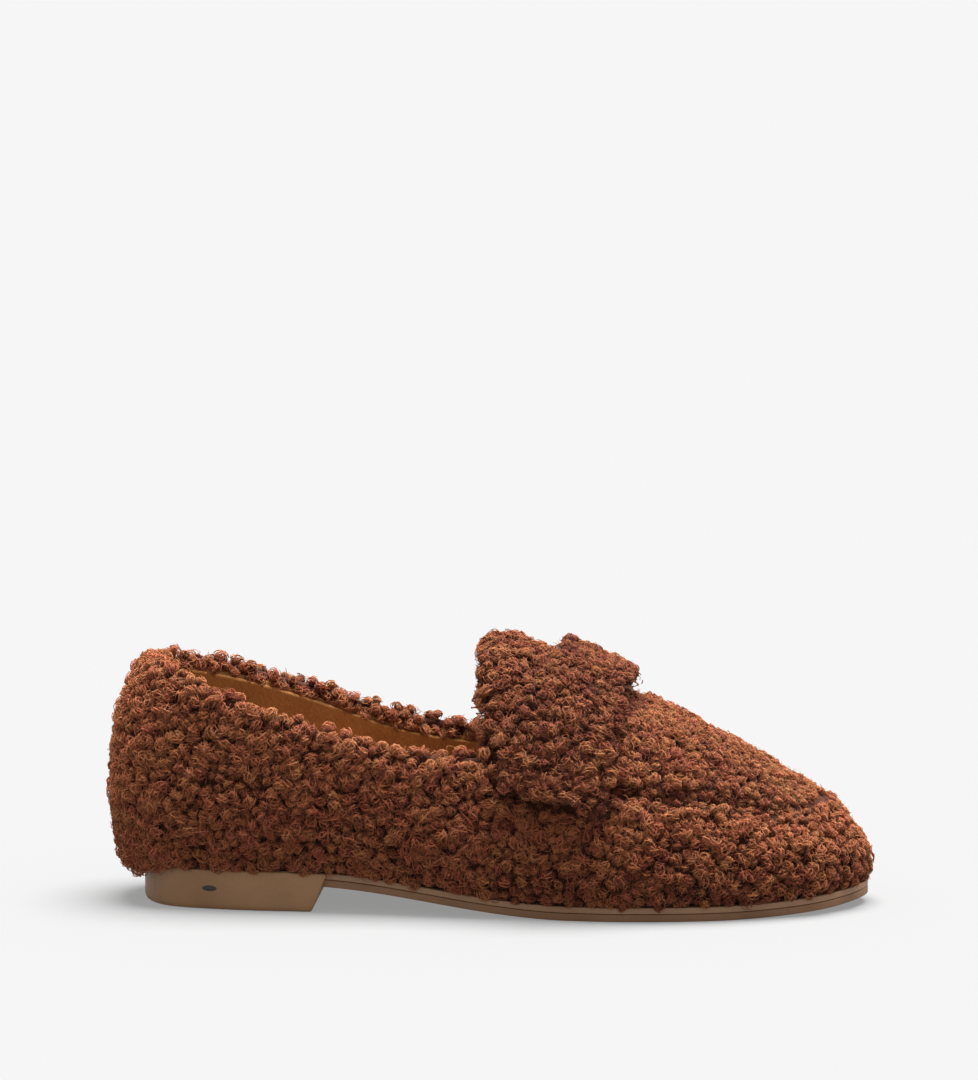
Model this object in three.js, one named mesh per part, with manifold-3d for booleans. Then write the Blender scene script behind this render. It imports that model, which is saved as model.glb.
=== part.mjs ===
// A moccasin-style house slipper in deep curly pile, right foot, built as the shoe is made:
// a moulded heel, two sole layers, an insole, stiffeners, linings and curly-pile upper panels,
// with a tongue that lifts behind a saddle strap.
//
// Millimetres. +X runs from heel to toe, +Y to the inner side of the foot, +Z up. The origin is
// the middle of the heel's ground face.

import * as THREE from "three";
import { mergeVertices } from "three/addons/utils/BufferGeometryUtils.js";
import Module from "manifold-3d";

const wasm = await Module();
wasm.setup();

// ---------------------------------------------------------------- driving dimensions

// Sole
const SOLE_LENGTH = 248.2; // back of the sole layers to the toe tip
const HEEL_BACK = -28.4; // back of the sole layers, inside the heel's rim
const HEEL_WIDTH = 53.5;
const WAIST_OUTER = 31; // centre line to the outer edge at the waist
const WAIST_INNER = 25;
const BALL_OUTER = 43;
const BALL_INNER = 40.5;
const TOE_SHIFT = 3; // toe tip towards the inner side
const OUTSOLE_THICKNESS = 2.4;
const MIDSOLE_THICKNESS = 2.2;
const TOE_SPRING = 3.2;

// Heel
const HEEL_UNDERSIDE = 9; // height of the outsole's underside over the heel
const HEEL_RIM = 1.8; // how far the heel's rim stands out round the sole layers
const HEEL_BREAST = 30.2; // front of the heel at the ground
const BREAST_SLANT = 0.42; // how far the breast leans forward for each mm of height
const HEEL_EDGE_ROUND = 1.4;
const NAIL_LENGTH = 13;
const NAIL_RADIUS = 1.1;
const NAIL_HEAD_RADIUS = 2.4;
const NAIL_HEAD_THICKNESS = 0.8;

// Bottom
const SHANK_LENGTH = 96;
const SHANK_WIDTH = 13;
const SHANK_START = 8;
const FILLER_MARGIN = 16; // edge of the sole to the edge of the cork filler
const FILLER_START = 112;
const BOARD_THICKNESS = 2;
const PAD_THICKNESS = 3;
const PAD_FRONT = 44;
const SOCK_THICKNESS = 1.6;

// Upper, counted outwards from the foot
const LINING_THICKNESS = 1.3;
const STIFFENER_THICKNESS = 1;
const PILE_THICKNESS = 6;
const STRAP_BACKING_THICKNESS = 0.8;
const STRAP_PILE_THICKNESS = 4.2;
const CUFF_RISE = 4.5; // how far the pile stands above the edge of the lining
const TOPLINE_BACK = 79; // height of the lining's edge at the back of the heel
const TOPLINE_THROAT = 49.5; // and at the throat
const THROAT = 90; // where the tongue's free edge crosses the topline
const JOIN = 100; // where quarters and vamp meet, under the strap
const APRON_FRONT_LEVEL = 0.8; // share of the way up the toe where the apron seam turns
const APRON_SIDE_HEIGHT = 45; // height of the apron seam under the strap
const APRON_SEAM_FALL = 0.165; // how far the seam falls for each mm towards the toe
const STRAP_WIDTH = 34.5;
const STRAP_REAR_TOP = 111; // rear edge of the strap on the ridge
const STRAP_REAR_END = 95.5; // rear edge of the strap at its lower end
const STRAP_END_LEVEL = 0.27; // share of the way up the wall where the strap ends
const TONGUE_FLARE = 3; // how far the tongue's free edge stands back above the topline
const TONGUE_EDGE_RISE = 1.2; // gap from the topline up to the tongue's side edges
const COUNTER_FRONT = 34;
const TAPE_WIDTH = 8;
const PUFF_BACK = 172;

const INSTEP_HEIGHT = 85.5; // ridge of the last at the throat
const TOE_HEIGHT = 33; // ridge of the last where the toe turns down

// Clearances
const GAP = 0.5; // between the layers of the upper
const SEAT = 0.3; // between pieces that lie on each other
const TONGUE_CLEARANCE = 1;

// ---------------------------------------------------------------- curves of the last

/** A smooth function through points [x, value], level beyond its ends. */
function smoothThrough(points) {
  const slope = points.map((p, i) => {
    const a = points[Math.max(0, i - 1)];
    const b = points[Math.min(points.length - 1, i + 1)];
    return (b[1] - a[1]) / (b[0] - a[0]);
  });
  return (x) => {
    if (x <= points[0][0]) return points[0][1];
    const last = points.length - 1;
    if (x >= points[last][0]) return points[last][1];
    let i = 0;
    while (x > points[i + 1][0]) i += 1;
    const [x0, y0] = points[i];
    const [x1, y1] = points[i + 1];
    const h = x1 - x0;
    const t = (x - x0) / h;
    const t2 = t * t;
    const t3 = t2 * t;
    return (2 * t3 - 3 * t2 + 1) * y0 + (t3 - 2 * t2 + t) * h * slope[i]
      + (3 * t2 - 2 * t3) * y1 + (t3 - t2) * h * slope[i + 1];
  };
}

const clamp01 = (v) => Math.min(1, Math.max(0, v));
const smoothStep = (v) => clamp01(v) ** 2 * (3 - 2 * clamp01(v));
const lerp = (a, b, t) => a + (b - a) * t;

/** X at a share of the sole's length. */
const along = (share) => HEEL_BACK + SOLE_LENGTH * share;

const heelHalf = HEEL_WIDTH / 2;
// [place along the sole, outer half width, inner half width]
const stations = [
  [0.027, heelHalf * 0.7, heelHalf * 0.7],
  [0.115, heelHalf, heelHalf * 0.97],
  [0.32, WAIST_OUTER, WAIST_INNER],
  [0.5, lerp(WAIST_OUTER, BALL_OUTER, 0.6), lerp(WAIST_INNER, BALL_INNER, 0.5)],
  [0.665, BALL_OUTER, lerp(WAIST_INNER, BALL_INNER, 0.92)],
  [0.825, BALL_OUTER * 0.85, BALL_INNER * 0.94],
  [0.95, BALL_OUTER * 0.48, BALL_INNER * 0.6],
];
const soleCurve = new THREE.CatmullRomCurve3(
  [
    new THREE.Vector3(along(0), 0, 0),
    ...stations.map(([share, outer]) => new THREE.Vector3(along(share), -outer, 0)),
    new THREE.Vector3(along(1), TOE_SHIFT, 0),
    ...[...stations].reverse().map(([share, , inner]) => new THREE.Vector3(along(share), inner, 0)),
  ],
  true,
  "centripetal",
);

/** Plan point of the sole's edge at s, from 0 at the heel to 1 (outer) or -1 (inner) at the toe. */
function solePoint(s) {
  return soleCurve.getPoint((((s / 2) % 1) + 1) % 1);
}

/** The value between 0 and 1 at which a rising function passes a target. */
function crossing(rising, target) {
  let low = 0;
  let high = 1;
  for (let i = 0; i < 40; i += 1) {
    const middle = (low + high) / 2;
    if (rising(middle) < target) low = middle;
    else high = middle;
  }
  return (low + high) / 2;
}

/** The same edge moved in by an inset, measured square to the edge. */
function insetPoint(s, inset) {
  const step = 0.002;
  const ahead = solePoint(s + step);
  const behind = solePoint(s - step);
  const dx = ahead.x - behind.x;
  const dy = ahead.y - behind.y;
  const length = Math.hypot(dx, dy);
  const p = solePoint(s);
  return new THREE.Vector3(p.x - (dy / length) * inset, p.y + (dx / length) * inset, 0);
}

const SHANK_CURVE_START = HEEL_BREAST - 8; // the sole leaves the heel's height here
const BALL_START = 118; // and reaches the ground here
const SPRING_START = along(1) - 54; // and leaves it again here

/** Height of the outsole's underside. */
function undersideAt(x) {
  const drop = HEEL_UNDERSIDE * (1 - smoothStep((x - SHANK_CURVE_START) / (BALL_START - SHANK_CURVE_START)));
  const spring = TOE_SPRING * clamp01((x - SPRING_START) / (along(1) - SPRING_START)) ** 2;
  return drop + spring;
}

const midsoleBottom = OUTSOLE_THICKNESS + SEAT;
const soleTop = midsoleBottom + MIDSOLE_THICKNESS;
/** Height on which the upper and the insole board stand. */
const featherAt = (x) => undersideAt(x) + soleTop + SEAT;

// Ridge of the last: the instep line, carried on over the mouth as a guide for the walls.
const toe = along(1);
const ridgeHeight = smoothThrough([
  [HEEL_BACK - 1.6, 118],
  [THROAT - 50, 108],
  [THROAT + 3.5, INSTEP_HEIGHT],
  [STRAP_REAR_TOP + 1, INSTEP_HEIGHT - 8.5],
  [STRAP_REAR_TOP + 15, INSTEP_HEIGHT - 14.5],
  [toe - 73.8, TOE_HEIGHT + 28.2],
  [toe - 54.8, TOE_HEIGHT + 18.8],
  [toe - 38.8, TOE_HEIGHT + 12],
  [toe - 27.8, TOE_HEIGHT + 5.5],
  [toe - 19.8, TOE_HEIGHT],
]);

const stiffenerIn = LINING_THICKNESS + GAP;
const pileIn = stiffenerIn + STIFFENER_THICKNESS + GAP;
const pileOut = pileIn + PILE_THICKNESS;
const backingIn = pileOut + GAP;
const strapIn = backingIn + STRAP_BACKING_THICKNESS + GAP;
const strapOut = strapIn + STRAP_PILE_THICKNESS;

// How far the upper stands past the sole's edge at the feather line, by share of length.
const overhang = smoothThrough([[0, 5], [0.115, 3.8], [0.4, 2.2], [0.665, 1.4], [1, 0.2]]);
// How far the walls belly out above the feather line.
const belly = smoothThrough([[0, 10.5], [0.115, 5.5], [0.4, 4], [0.665, 3.4], [0.9, 2.4], [1, 2]]);

const BELLY_LEVEL = 0.3; // share of the ridge height where the wall is widest
const WALL_POWER = 2 / 2.35; // squareness of the wall's section
const BACK_FAN = 34; // the back of the heel leans over this far behind the ridge's end
const BACK_FAN_RANGE = 80;
const TOE_FAN = 13;
const TOE_FAN_RANGE = 45;

/** Foot of the wall and the ridge point that it rises to, at s. */
function wallEnds(s) {
  const sigma = Math.abs(s) > 1 ? 2 - Math.abs(s) : Math.abs(s);
  const share = clamp01((solePoint(s).x - along(0)) / SOLE_LENGTH);
  const foot = insetPoint(s, pileOut - overhang(share));
  const mean = (insetPoint(sigma, pileOut).x + insetPoint(-sigma, pileOut).x) / 2;
  const backStart = insetPoint(0, pileOut).x;
  const toeEnd = insetPoint(1, pileOut).x;
  const back = BACK_FAN * (1 - clamp01((mean - backStart) / BACK_FAN_RANGE)) ** 2;
  const front = TOE_FAN * clamp01((mean - toeEnd + TOE_FAN_RANGE) / TOE_FAN_RANGE) ** 2;
  const x = mean + back - front;
  const sway = TOE_SHIFT * smoothStep((x - JOIN) / (along(1) - JOIN));
  return {
    share,
    foot: foot.setZ(featherAt(foot.x)),
    ridge: new THREE.Vector3(x, sway, ridgeHeight(x)),
  };
}

/** Point of the last's surface: t is 0 at the feather line and 1 on the ridge. */
function lastPoint(s, t) {
  const { share, foot, ridge } = wallEnds(s);
  const angle = (clamp01(t) * Math.PI) / 2;
  const rise = Math.sin(angle) ** WALL_POWER;
  const inward = 1 - Math.cos(angle) ** WALL_POWER;
  const level = rise / BELLY_LEVEL;
  const out = belly(share) * level * Math.exp(1 - level) * (1 - rise ** 3);
  const plan = new THREE.Vector2(ridge.x - foot.x, ridge.y - foot.y);
  const reach = plan.length();
  return new THREE.Vector3(
    foot.x + plan.x * (inward - out / reach),
    foot.y + plan.y * (inward - out / reach),
    lerp(foot.z, ridge.z, rise),
  );
}

/** Outward direction of the last's surface. */
function lastNormal(s, t) {
  const step = 0.004;
  if (t > 1 - 2 * step) {
    const ahead = wallEnds(Math.min(1, Math.abs(s) + step)).ridge;
    const behind = wallEnds(Math.max(0, Math.abs(s) - step)).ridge;
    return new THREE.Vector3(behind.z - ahead.z, 0, ahead.x - behind.x).normalize();
  }
  const alongS = lastPoint(s + step, t).sub(lastPoint(s - step, t));
  const alongT = lastPoint(s, t + step).sub(lastPoint(s, Math.max(0, t - step)));
  const normal = alongS.cross(alongT).normalize();
  // At the feather line the layers stand side by side on the sole.
  normal.z *= smoothStep(t / 0.12);
  return normal.normalize();
}

/** Point of a layer of the upper at a distance outside the last. */
function layerPoint(s, t, distance) {
  const point = lastPoint(s, t).addScaledVector(lastNormal(s, t), distance);
  // Near the sole every layer follows the sole's own rise under it.
  point.z += (featherAt(point.x) - featherAt(wallEnds(s).foot.x)) * (1 - smoothStep(t / 0.5));
  return point;
}

/** The s on one side (1 outer, -1 inner) where the surface at level t reaches x. */
function sAtX(side, x, t) {
  return side * crossing((sigma) => lastPoint(side * sigma, t).x, x);
}

/** The level t at which the wall at s reaches a height. */
function levelAtHeight(s, height) {
  const { foot, ridge } = wallEnds(s);
  const rise = clamp01((height - foot.z) / (ridge.z - foot.z));
  return (Math.asin(rise ** (1 / WALL_POWER)) * 2) / Math.PI;
}

const toplineHeight = smoothThrough([
  [-36, TOPLINE_BACK],
  [-6, TOPLINE_BACK - 5],
  [29, lerp(TOPLINE_THROAT, TOPLINE_BACK, 0.5)],
  [58, TOPLINE_THROAT + 5.2],
  [THROAT, TOPLINE_THROAT],
  [JOIN + 12, TOPLINE_THROAT - 1],
]);

/** Level of the topline at s, raised or lowered by an amount in mm. */
function toplineLevel(s, raise = 0) {
  let t = 0.6;
  for (let i = 0; i < 12; i += 1) t = levelAtHeight(s, toplineHeight(lastPoint(s, t).x) + raise);
  return t;
}

// ---------------------------------------------------------------- solids

/** A closed body from vertices and triangles, with coincident vertices merged. */
function closedGeometry(positions, indices) {
  let geometry = new THREE.BufferGeometry();
  geometry.setAttribute("position", new THREE.Float32BufferAttribute(positions, 3));
  geometry.setIndex(indices);
  geometry = mergeVertices(geometry, 1e-4);
  const index = geometry.getIndex();
  const kept = [];
  for (let i = 0; i < index.count; i += 3) {
    const [a, b, c] = [index.getX(i), index.getX(i + 1), index.getX(i + 2)];
    if (a !== b && b !== c && c !== a) kept.push(a, b, c);
  }
  geometry.setIndex(kept);
  return geometry;
}

/**
 * A panel of even thickness over a grid: point(i, j, distance) gives its vertices, and the edges
 * named in welded meet themselves, so they get no side wall.
 */
function panel(columns, rows, inner, outer, point, welded = []) {
  const positions = [];
  const at = (side, i, j) => side * (columns + 1) * (rows + 1) + j * (columns + 1) + i;
  [inner, outer].forEach((distance) => {
    for (let j = 0; j <= rows; j += 1) {
      for (let i = 0; i <= columns; i += 1) positions.push(...point(i / columns, j / rows, distance).toArray());
    }
  });
  const indices = [];
  const quad = (a, b, c, d) => indices.push(a, b, c, a, c, d);
  for (let j = 0; j < rows; j += 1) {
    for (let i = 0; i < columns; i += 1) {
      quad(at(1, i, j), at(1, i + 1, j), at(1, i + 1, j + 1), at(1, i, j + 1));
      quad(at(0, i, j), at(0, i, j + 1), at(0, i + 1, j + 1), at(0, i + 1, j));
    }
  }
  for (let i = 0; i < columns; i += 1) {
    if (!welded.includes("bottom")) quad(at(0, i, 0), at(0, i + 1, 0), at(1, i + 1, 0), at(1, i, 0));
    if (!welded.includes("top")) quad(at(1, i, rows), at(1, i + 1, rows), at(0, i + 1, rows), at(0, i, rows));
  }
  for (let j = 0; j < rows; j += 1) {
    if (!welded.includes("start")) quad(at(0, 0, j), at(1, 0, j), at(1, 0, j + 1), at(0, 0, j + 1));
    if (!welded.includes("end")) {
      quad(at(1, columns, j), at(0, columns, j), at(0, columns, j + 1), at(1, columns, j + 1));
    }
  }
  return closedGeometry(positions, indices);
}

const STATIONS = 32; // places along each side of the shoe that every layer shares

/** The shared places from one s to another, with both ends. */
function stationsBetween(from, to) {
  const list = [from];
  const first = Math.ceil((from + 0.006) * STATIONS);
  for (let k = first; k / STATIONS < to - 0.006; k += 1) list.push(k / STATIONS);
  list.push(to);
  return list;
}

/** A piece of the wall between two places round the shoe and two levels. */
function wallPanel(from, to, rows, low, high, inner, outer) {
  const list = stationsBetween(from, to);
  return panel(list.length - 1, rows, inner, outer, (u, v, distance) => {
    const s = list[Math.round(u * (list.length - 1))];
    return layerPoint(s, lerp(low(s), high(s), v), distance);
  });
}

/** A piece that crosses the ridge; place(u, v) has v from 1 at the outer to -1 at the inner edge. */
function archPanel(columns, rows, place, inner, outer, welded = []) {
  return panel(columns, rows, inner, outer, (u, v, distance) => {
    const { s, t } = place(u, 1 - 2 * v);
    return layerPoint(s, t, distance);
  }, welded);
}

/**
 * A piece that crosses the ridge from a rear edge to the toe tip, on the shared places.
 * rearX(t) is the rear edge's x at a level, and low(s) the level of the side edges.
 */
function toePanel(rows, rearX, low, inner, outer) {
  const rear = (side, rise) => {
    const t = lerp(low(side * 0.5), 1, rise);
    return Math.abs(sAtX(side, rearX(t), t));
  };
  const furthest = Math.max(...[0, 0.5, 1].flatMap((rise) => [rear(1, rise), rear(-1, rise)]));
  const shared = stationsBetween(furthest, 1);
  return archPanel(shared.length - 1, rows, (u, v) => {
    const side = v > 0 ? 1 : -1;
    const rise = 1 - Math.abs(v);
    const i = Math.round(u * (shared.length - 1));
    const sigma = i === 0 ? rear(side, rise) : shared[i];
    return { s: side * sigma, t: lerp(low(side * sigma), 1, rise) };
  }, inner, outer, ["end"]);
}

const PLATE_STEPS = 24;

/** Plan points of a bottom piece, as pairs across the shoe between its two tips. */
function plateRows(inset, back, front) {
  const middle = [];
  for (let i = 1; i < PLATE_STEPS; i += 1) {
    const pair = [1, -1].map((side) => insetPoint((side * i) / PLATE_STEPS, inset));
    if (pair.every((p) => p.x > back && p.x < front)) middle.push(pair);
  }
  const cutEnd = (x) => [1, -1].map((side) => {
    const sigma = crossing((half) => insetPoint(side * half, inset).x, x);
    return insetPoint(side * sigma, inset).setX(x);
  });
  if (back > insetPoint(0, inset).x) middle.unshift(cutEnd(back));
  if (front < insetPoint(1, inset).x) middle.push(cutEnd(front));
  return middle;
}

/** A bent plate under the foot, following height(x), between two ends. */
function plate(inset, height, thickness, back = -Infinity, front = Infinity) {
  const rows = plateRows(inset, back, front);
  const tips = [insetPoint(0, inset), insetPoint(1, inset)];
  const openBack = back < tips[0].x;
  const openFront = front > tips[1].x;
  const positions = [];
  // Adds a vertex and gives its number.
  const push = (p, lift) => positions.push(p.x, p.y, height(p.x) + lift) / 3 - 1;
  const layer = (lift) => ({
    tips: tips.map((p) => push(p, lift)),
    rows: rows.map((pair) => pair.map((p) => push(p, lift))),
  });
  const low = layer(0);
  const top = layer(thickness);
  const indices = [];
  const face = (a, b, c, up) => indices.push(a, up ? b : c, up ? c : b);
  [[low, false], [top, true]].forEach(([at, up]) => {
    if (openBack) face(at.tips[0], at.rows[0][0], at.rows[0][1], up);
    for (let i = 0; i + 1 < rows.length; i += 1) {
      face(at.rows[i][0], at.rows[i + 1][0], at.rows[i + 1][1], up);
      face(at.rows[i][0], at.rows[i + 1][1], at.rows[i][1], up);
    }
    const last = at.rows[rows.length - 1];
    if (openFront) face(last[0], at.tips[1], last[1], up);
  });
  const rim = (at) => [
    ...(openBack ? [at.tips[0]] : []),
    ...at.rows.map((pair) => pair[0]),
    ...(openFront ? [at.tips[1]] : []),
    ...[...at.rows].reverse().map((pair) => pair[1]),
  ];
  const lowRim = rim(low);
  const topRim = rim(top);
  lowRim.forEach((a, i) => {
    const next = (i + 1) % lowRim.length;
    indices.push(a, lowRim[next], topRim[next], a, topRim[next], topRim[i]);
  });
  return closedGeometry(positions, indices);
}

/** Cuts tools out of a body. */
function cut(geometry, ...tools) {
  const solid = (source) => {
    const bare = new THREE.BufferGeometry();
    bare.setAttribute("position", source.getAttribute("position").clone());
    if (source.getIndex()) bare.setIndex(source.getIndex().clone());
    const merged = mergeVertices(bare, 1e-4);
    return new wasm.Manifold(new wasm.Mesh({
      numProp: 3,
      vertProperties: merged.getAttribute("position").array,
      triVerts: Uint32Array.from(merged.getIndex().array),
    }));
  };
  const left = tools.reduce((body, tool) => body.subtract(solid(tool)), solid(geometry)).getMesh();
  return closedGeometry(Array.from(left.vertProperties), Array.from(left.triVerts));
}

const slipper = new THREE.Group();

/** Adds one piece to the slipper. */
function add(name, geometry, finish) {
  const mesh = new THREE.Mesh(geometry, new THREE.MeshStandardMaterial(finish));
  mesh.name = name;
  slipper.add(mesh);
  return mesh;
}

const PILE = { color: 0x8a5238, roughness: 0.95, metalness: 0 };
const LINING = { color: 0x96642a, roughness: 0.9, metalness: 0 };
const RUBBER = { color: 0x8a6c4f, roughness: 0.6, metalness: 0 };
const RUBBER_DARK = { color: 0x6b4d36, roughness: 0.6, metalness: 0 };
const FIBREBOARD = { color: 0xb59b78, roughness: 0.85, metalness: 0 };
const FOAM = { color: 0xe4d9c0, roughness: 0.9, metalness: 0 };
const CORK = { color: 0xb98a55, roughness: 0.9, metalness: 0 };
const STEEL = { color: 0x9a9ca0, roughness: 0.35, metalness: 1 };
const STIFFENER = { color: 0xd8d2c4, roughness: 0.8, metalness: 0 };

// ---------------------------------------------------------------- heel and nails

const NAIL_PLACES = [[-17, 0], [-6, -13], [-6, 13], [13, -14], [13, 13]];
const boardTop = featherAt(0) + BOARD_THICKNESS;
const nailTip = boardTop + SEAT - NAIL_LENGTH;

/** A cylinder standing on z, for nails and their holes. */
function post(radius, bottom, height, x, y) {
  const geometry = new THREE.CylinderGeometry(radius, radius, height, 12);
  geometry.rotateX(Math.PI / 2);
  geometry.translate(x, y, bottom + height / 2);
  return geometry;
}

/** Holes for the nails through whatever lies between two heights. */
function nailHoles(bottom, height) {
  return NAIL_PLACES.map(([x, y]) => post(NAIL_RADIUS + SEAT, bottom, height, x, y));
}

/** Outline of the heel at a height, drawn in by an inset, its breast cut straight. */
function heelOutline(z, inset) {
  const front = HEEL_BREAST + BREAST_SLANT * z;
  const steps = 16;
  const [outer, inner] = [1, -1].map((side) => (
    crossing((sigma) => insetPoint(side * sigma, inset - HEEL_RIM).x, front)
  ));
  const points = [];
  for (let i = -steps; i <= steps; i += 1) {
    points.push(insetPoint((i / steps) * (i < 0 ? inner : outer), inset - HEEL_RIM));
  }
  return points;
}

/** The moulded heel: a block with a rounded foot and a rim round the sole layers. */
function heelBlock() {
  const top = undersideAt(0) + soleTop;
  const levels = [
    [0, HEEL_EDGE_ROUND],
    [HEEL_EDGE_ROUND * 0.3, HEEL_EDGE_ROUND * 0.3],
    [HEEL_EDGE_ROUND, 0],
    [top, 0],
  ];
  const rings = levels.map(([z, inset]) => heelOutline(z, inset).map((p) => p.setZ(z)));
  const count = rings[0].length;
  const positions = rings.flat().flatMap((p) => p.toArray());
  const indices = [];
  for (let r = 0; r + 1 < rings.length; r += 1) {
    for (let i = 0; i < count; i += 1) {
      const a = r * count + i;
      const b = r * count + ((i + 1) % count);
      indices.push(a, b, b + count, a, b + count, a + count);
    }
  }
  const flat = rings[0].map((p) => new THREE.Vector2(p.x, p.y));
  THREE.ShapeUtils.triangulateShape(flat, []).forEach(([a, b, c]) => indices.push(a, c, b));
  const lid = rings[rings.length - 1].map((p) => new THREE.Vector2(p.x, p.y));
  const base = (rings.length - 1) * count;
  THREE.ShapeUtils.triangulateShape(lid, []).forEach(([a, b, c]) => indices.push(base + a, base + b, base + c));
  const body = closedGeometry(positions, indices);
  const tray = plate(-SEAT, (x) => undersideAt(x) - SEAT, soleTop + 5);
  const above = plate(-HEEL_RIM - 2, (x) => undersideAt(x) + soleTop, 10);
  return cut(body, tray, above, ...nailHoles(nailTip - SEAT, HEEL_UNDERSIDE));
}

add("heel_block", heelBlock(), RUBBER);

const shankSlot = new THREE.BoxGeometry(SHANK_LENGTH + 2 * SEAT, SHANK_WIDTH + 2 * SEAT, 4 * HEEL_UNDERSIDE);
shankSlot.translate(SHANK_START + SHANK_LENGTH / 2, 0, HEEL_UNDERSIDE);
const layersUnderHeel = nailHoles(HEEL_UNDERSIDE - 2, soleTop + 8);

add("outsole", cut(plate(0, undersideAt, OUTSOLE_THICKNESS), ...layersUnderHeel), RUBBER_DARK);

const midsoleHeight = (x) => undersideAt(x) + midsoleBottom;
const fillerPocket = plate(FILLER_MARGIN - SEAT, (x) => midsoleHeight(x) - 3, 10, FILLER_START - SEAT);
add("midsole", cut(plate(0, midsoleHeight, MIDSOLE_THICKNESS), shankSlot, fillerPocket, ...layersUnderHeel), RUBBER);
add("bottom_filler", plate(FILLER_MARGIN, midsoleHeight, MIDSOLE_THICKNESS, FILLER_START), CORK);

/** The steel shank: a strip bent along the waist, in its slot in the midsole. */
function shank() {
  const thickness = MIDSOLE_THICKNESS - 2 * SEAT;
  return panel(14, 1, 0, thickness, (u, v, lift) => {
    const x = SHANK_START + SHANK_LENGTH * u;
    return new THREE.Vector3(x, SHANK_WIDTH * (v - 0.5), midsoleHeight(x) + SEAT + lift);
  });
}
add("shank", cut(shank(), ...layersUnderHeel), STEEL);

/** A heel nail: a flat head on the insole board and a pointed stem down into the heel. */
function nail(x, y) {
  const headBottom = boardTop + SEAT;
  const profile = [
    [0, headBottom - NAIL_LENGTH + 2 * SEAT],
    [NAIL_RADIUS, headBottom - NAIL_LENGTH + 2 * SEAT + 2],
    [NAIL_RADIUS, headBottom],
    [NAIL_HEAD_RADIUS, headBottom],
    [NAIL_HEAD_RADIUS, headBottom + NAIL_HEAD_THICKNESS],
    [0, headBottom + NAIL_HEAD_THICKNESS],
  ].map(([r, z]) => new THREE.Vector2(r, z));
  const geometry = new THREE.LatheGeometry(profile, 12);
  geometry.rotateX(Math.PI / 2);
  geometry.translate(x, y, 0);
  return geometry;
}
NAIL_PLACES.forEach(([x, y], i) => add(`heel_nail_${i + 1}`, nail(x, y), STEEL));

// ---------------------------------------------------------------- insole, pad and sock

const boardInset = pileOut + SEAT;
add("insole_board", cut(plate(boardInset, featherAt, BOARD_THICKNESS), ...layersUnderHeel), FIBREBOARD);

const padBottom = (x) => featherAt(x) + BOARD_THICKNESS + NAIL_HEAD_THICKNESS + 2 * SEAT;
add("heel_pad", plate(boardInset + 2, padBottom, PAD_THICKNESS, -Infinity, PAD_FRONT), FOAM);

const SOCK_RAMP = 34; // the sock comes down from the pad to the board over this length
const sockHeight = (x) => featherAt(x) + BOARD_THICKNESS + SEAT
  + (NAIL_HEAD_THICKNESS + PAD_THICKNESS + 2 * SEAT) * (1 - smoothStep((x - PAD_FRONT - 4) / SOCK_RAMP));
add("sock_lining", plate(boardInset, sockHeight, SOCK_THICKNESS), LINING);

// ---------------------------------------------------------------- linings and stiffeners

const WALL_ROWS = 7;
const floor = () => 0;
const SEAM_GAP = 0.004; // in s, the gap at the back seam
const joinS = (side) => sAtX(side, JOIN, 0.3);
const JOIN_GAP = 0.0008; // in s, the gap where quarters meet the vamp

/** Adds the two halves of a piece that runs from the back seam to the join. */
function quarterPair(stem, rows, low, high, inner, outer, finish, reach = joinS) {
  [["outer", 1], ["inner", -1]].forEach(([word, side]) => {
    const near = (side * SEAM_GAP) / 2;
    const far = reach(side) - side * JOIN_GAP;
    const [from, to] = side > 0 ? [near, far] : [far, near];
    add(`${stem}_${word}`, wallPanel(from, to, rows, low, high, inner, outer), finish);
  });
}

quarterPair("quarter_lining", WALL_ROWS, floor, (s) => toplineLevel(s), 0, LINING_THICKNESS, LINING);

// The counter ends on a row of the quarter outside it, so that the two keep their distance.
const cuffLevel = (s) => toplineLevel(s, CUFF_RISE);
const COUNTER_ROWS = 4;
const counterTop = (s) => (cuffLevel(s) * COUNTER_ROWS) / WALL_ROWS;
const counterFrom = sAtX(-1, COUNTER_FRONT, 0.3);
const counterTo = sAtX(1, COUNTER_FRONT, 0.3);
add(
  "heel_counter",
  wallPanel(counterFrom, counterTo, COUNTER_ROWS, floor, counterTop, stiffenerIn, stiffenerIn + STIFFENER_THICKNESS),
  STIFFENER,
);
quarterPair(
  "topline_tape",
  1,
  (s) => toplineLevel(s, -1.5 - TAPE_WIDTH),
  (s) => toplineLevel(s, -1.5),
  stiffenerIn,
  stiffenerIn + STIFFENER_THICKNESS,
  STIFFENER,
);

/** X of the strap's rear edge at a level of the wall. */
function strapRearX(t) {
  return lerp(STRAP_REAR_END, STRAP_REAR_TOP, smoothStep((t - STRAP_END_LEVEL) / (1 - STRAP_END_LEVEL)));
}

/** X of the rear edge of what runs forward under the strap. */
function underStrapX(t) {
  return Math.max(JOIN + 1, strapRearX(t) + TONGUE_CLEARANCE);
}

add("vamp_lining", toePanel(20, underStrapX, floor, 0, LINING_THICKNESS), LINING);
add(
  "toe_puff",
  toePanel(20, () => PUFF_BACK, floor, stiffenerIn, stiffenerIn + STIFFENER_THICKNESS),
  STIFFENER,
);

// ---------------------------------------------------------------- pile panels of the upper

quarterPair(
  "quarter",
  WALL_ROWS,
  floor,
  cuffLevel,
  pileIn,
  pileOut,
  PILE,
);

/** Level of the apron seam at s: level along the sides, turning round the toe. */
function seamLevel(s) {
  const side = levelAtHeight(s, APRON_SIDE_HEIGHT - APRON_SEAM_FALL * Math.max(0, lastPoint(s, 0.4).x - STRAP_REAR_TOP));
  return lerp(side, Math.max(side, APRON_FRONT_LEVEL), smoothStep((Math.abs(s) - 0.8) / 0.2));
}
const SEAM_GROOVE = 0.012; // in t, each side of the apron seam

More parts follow.
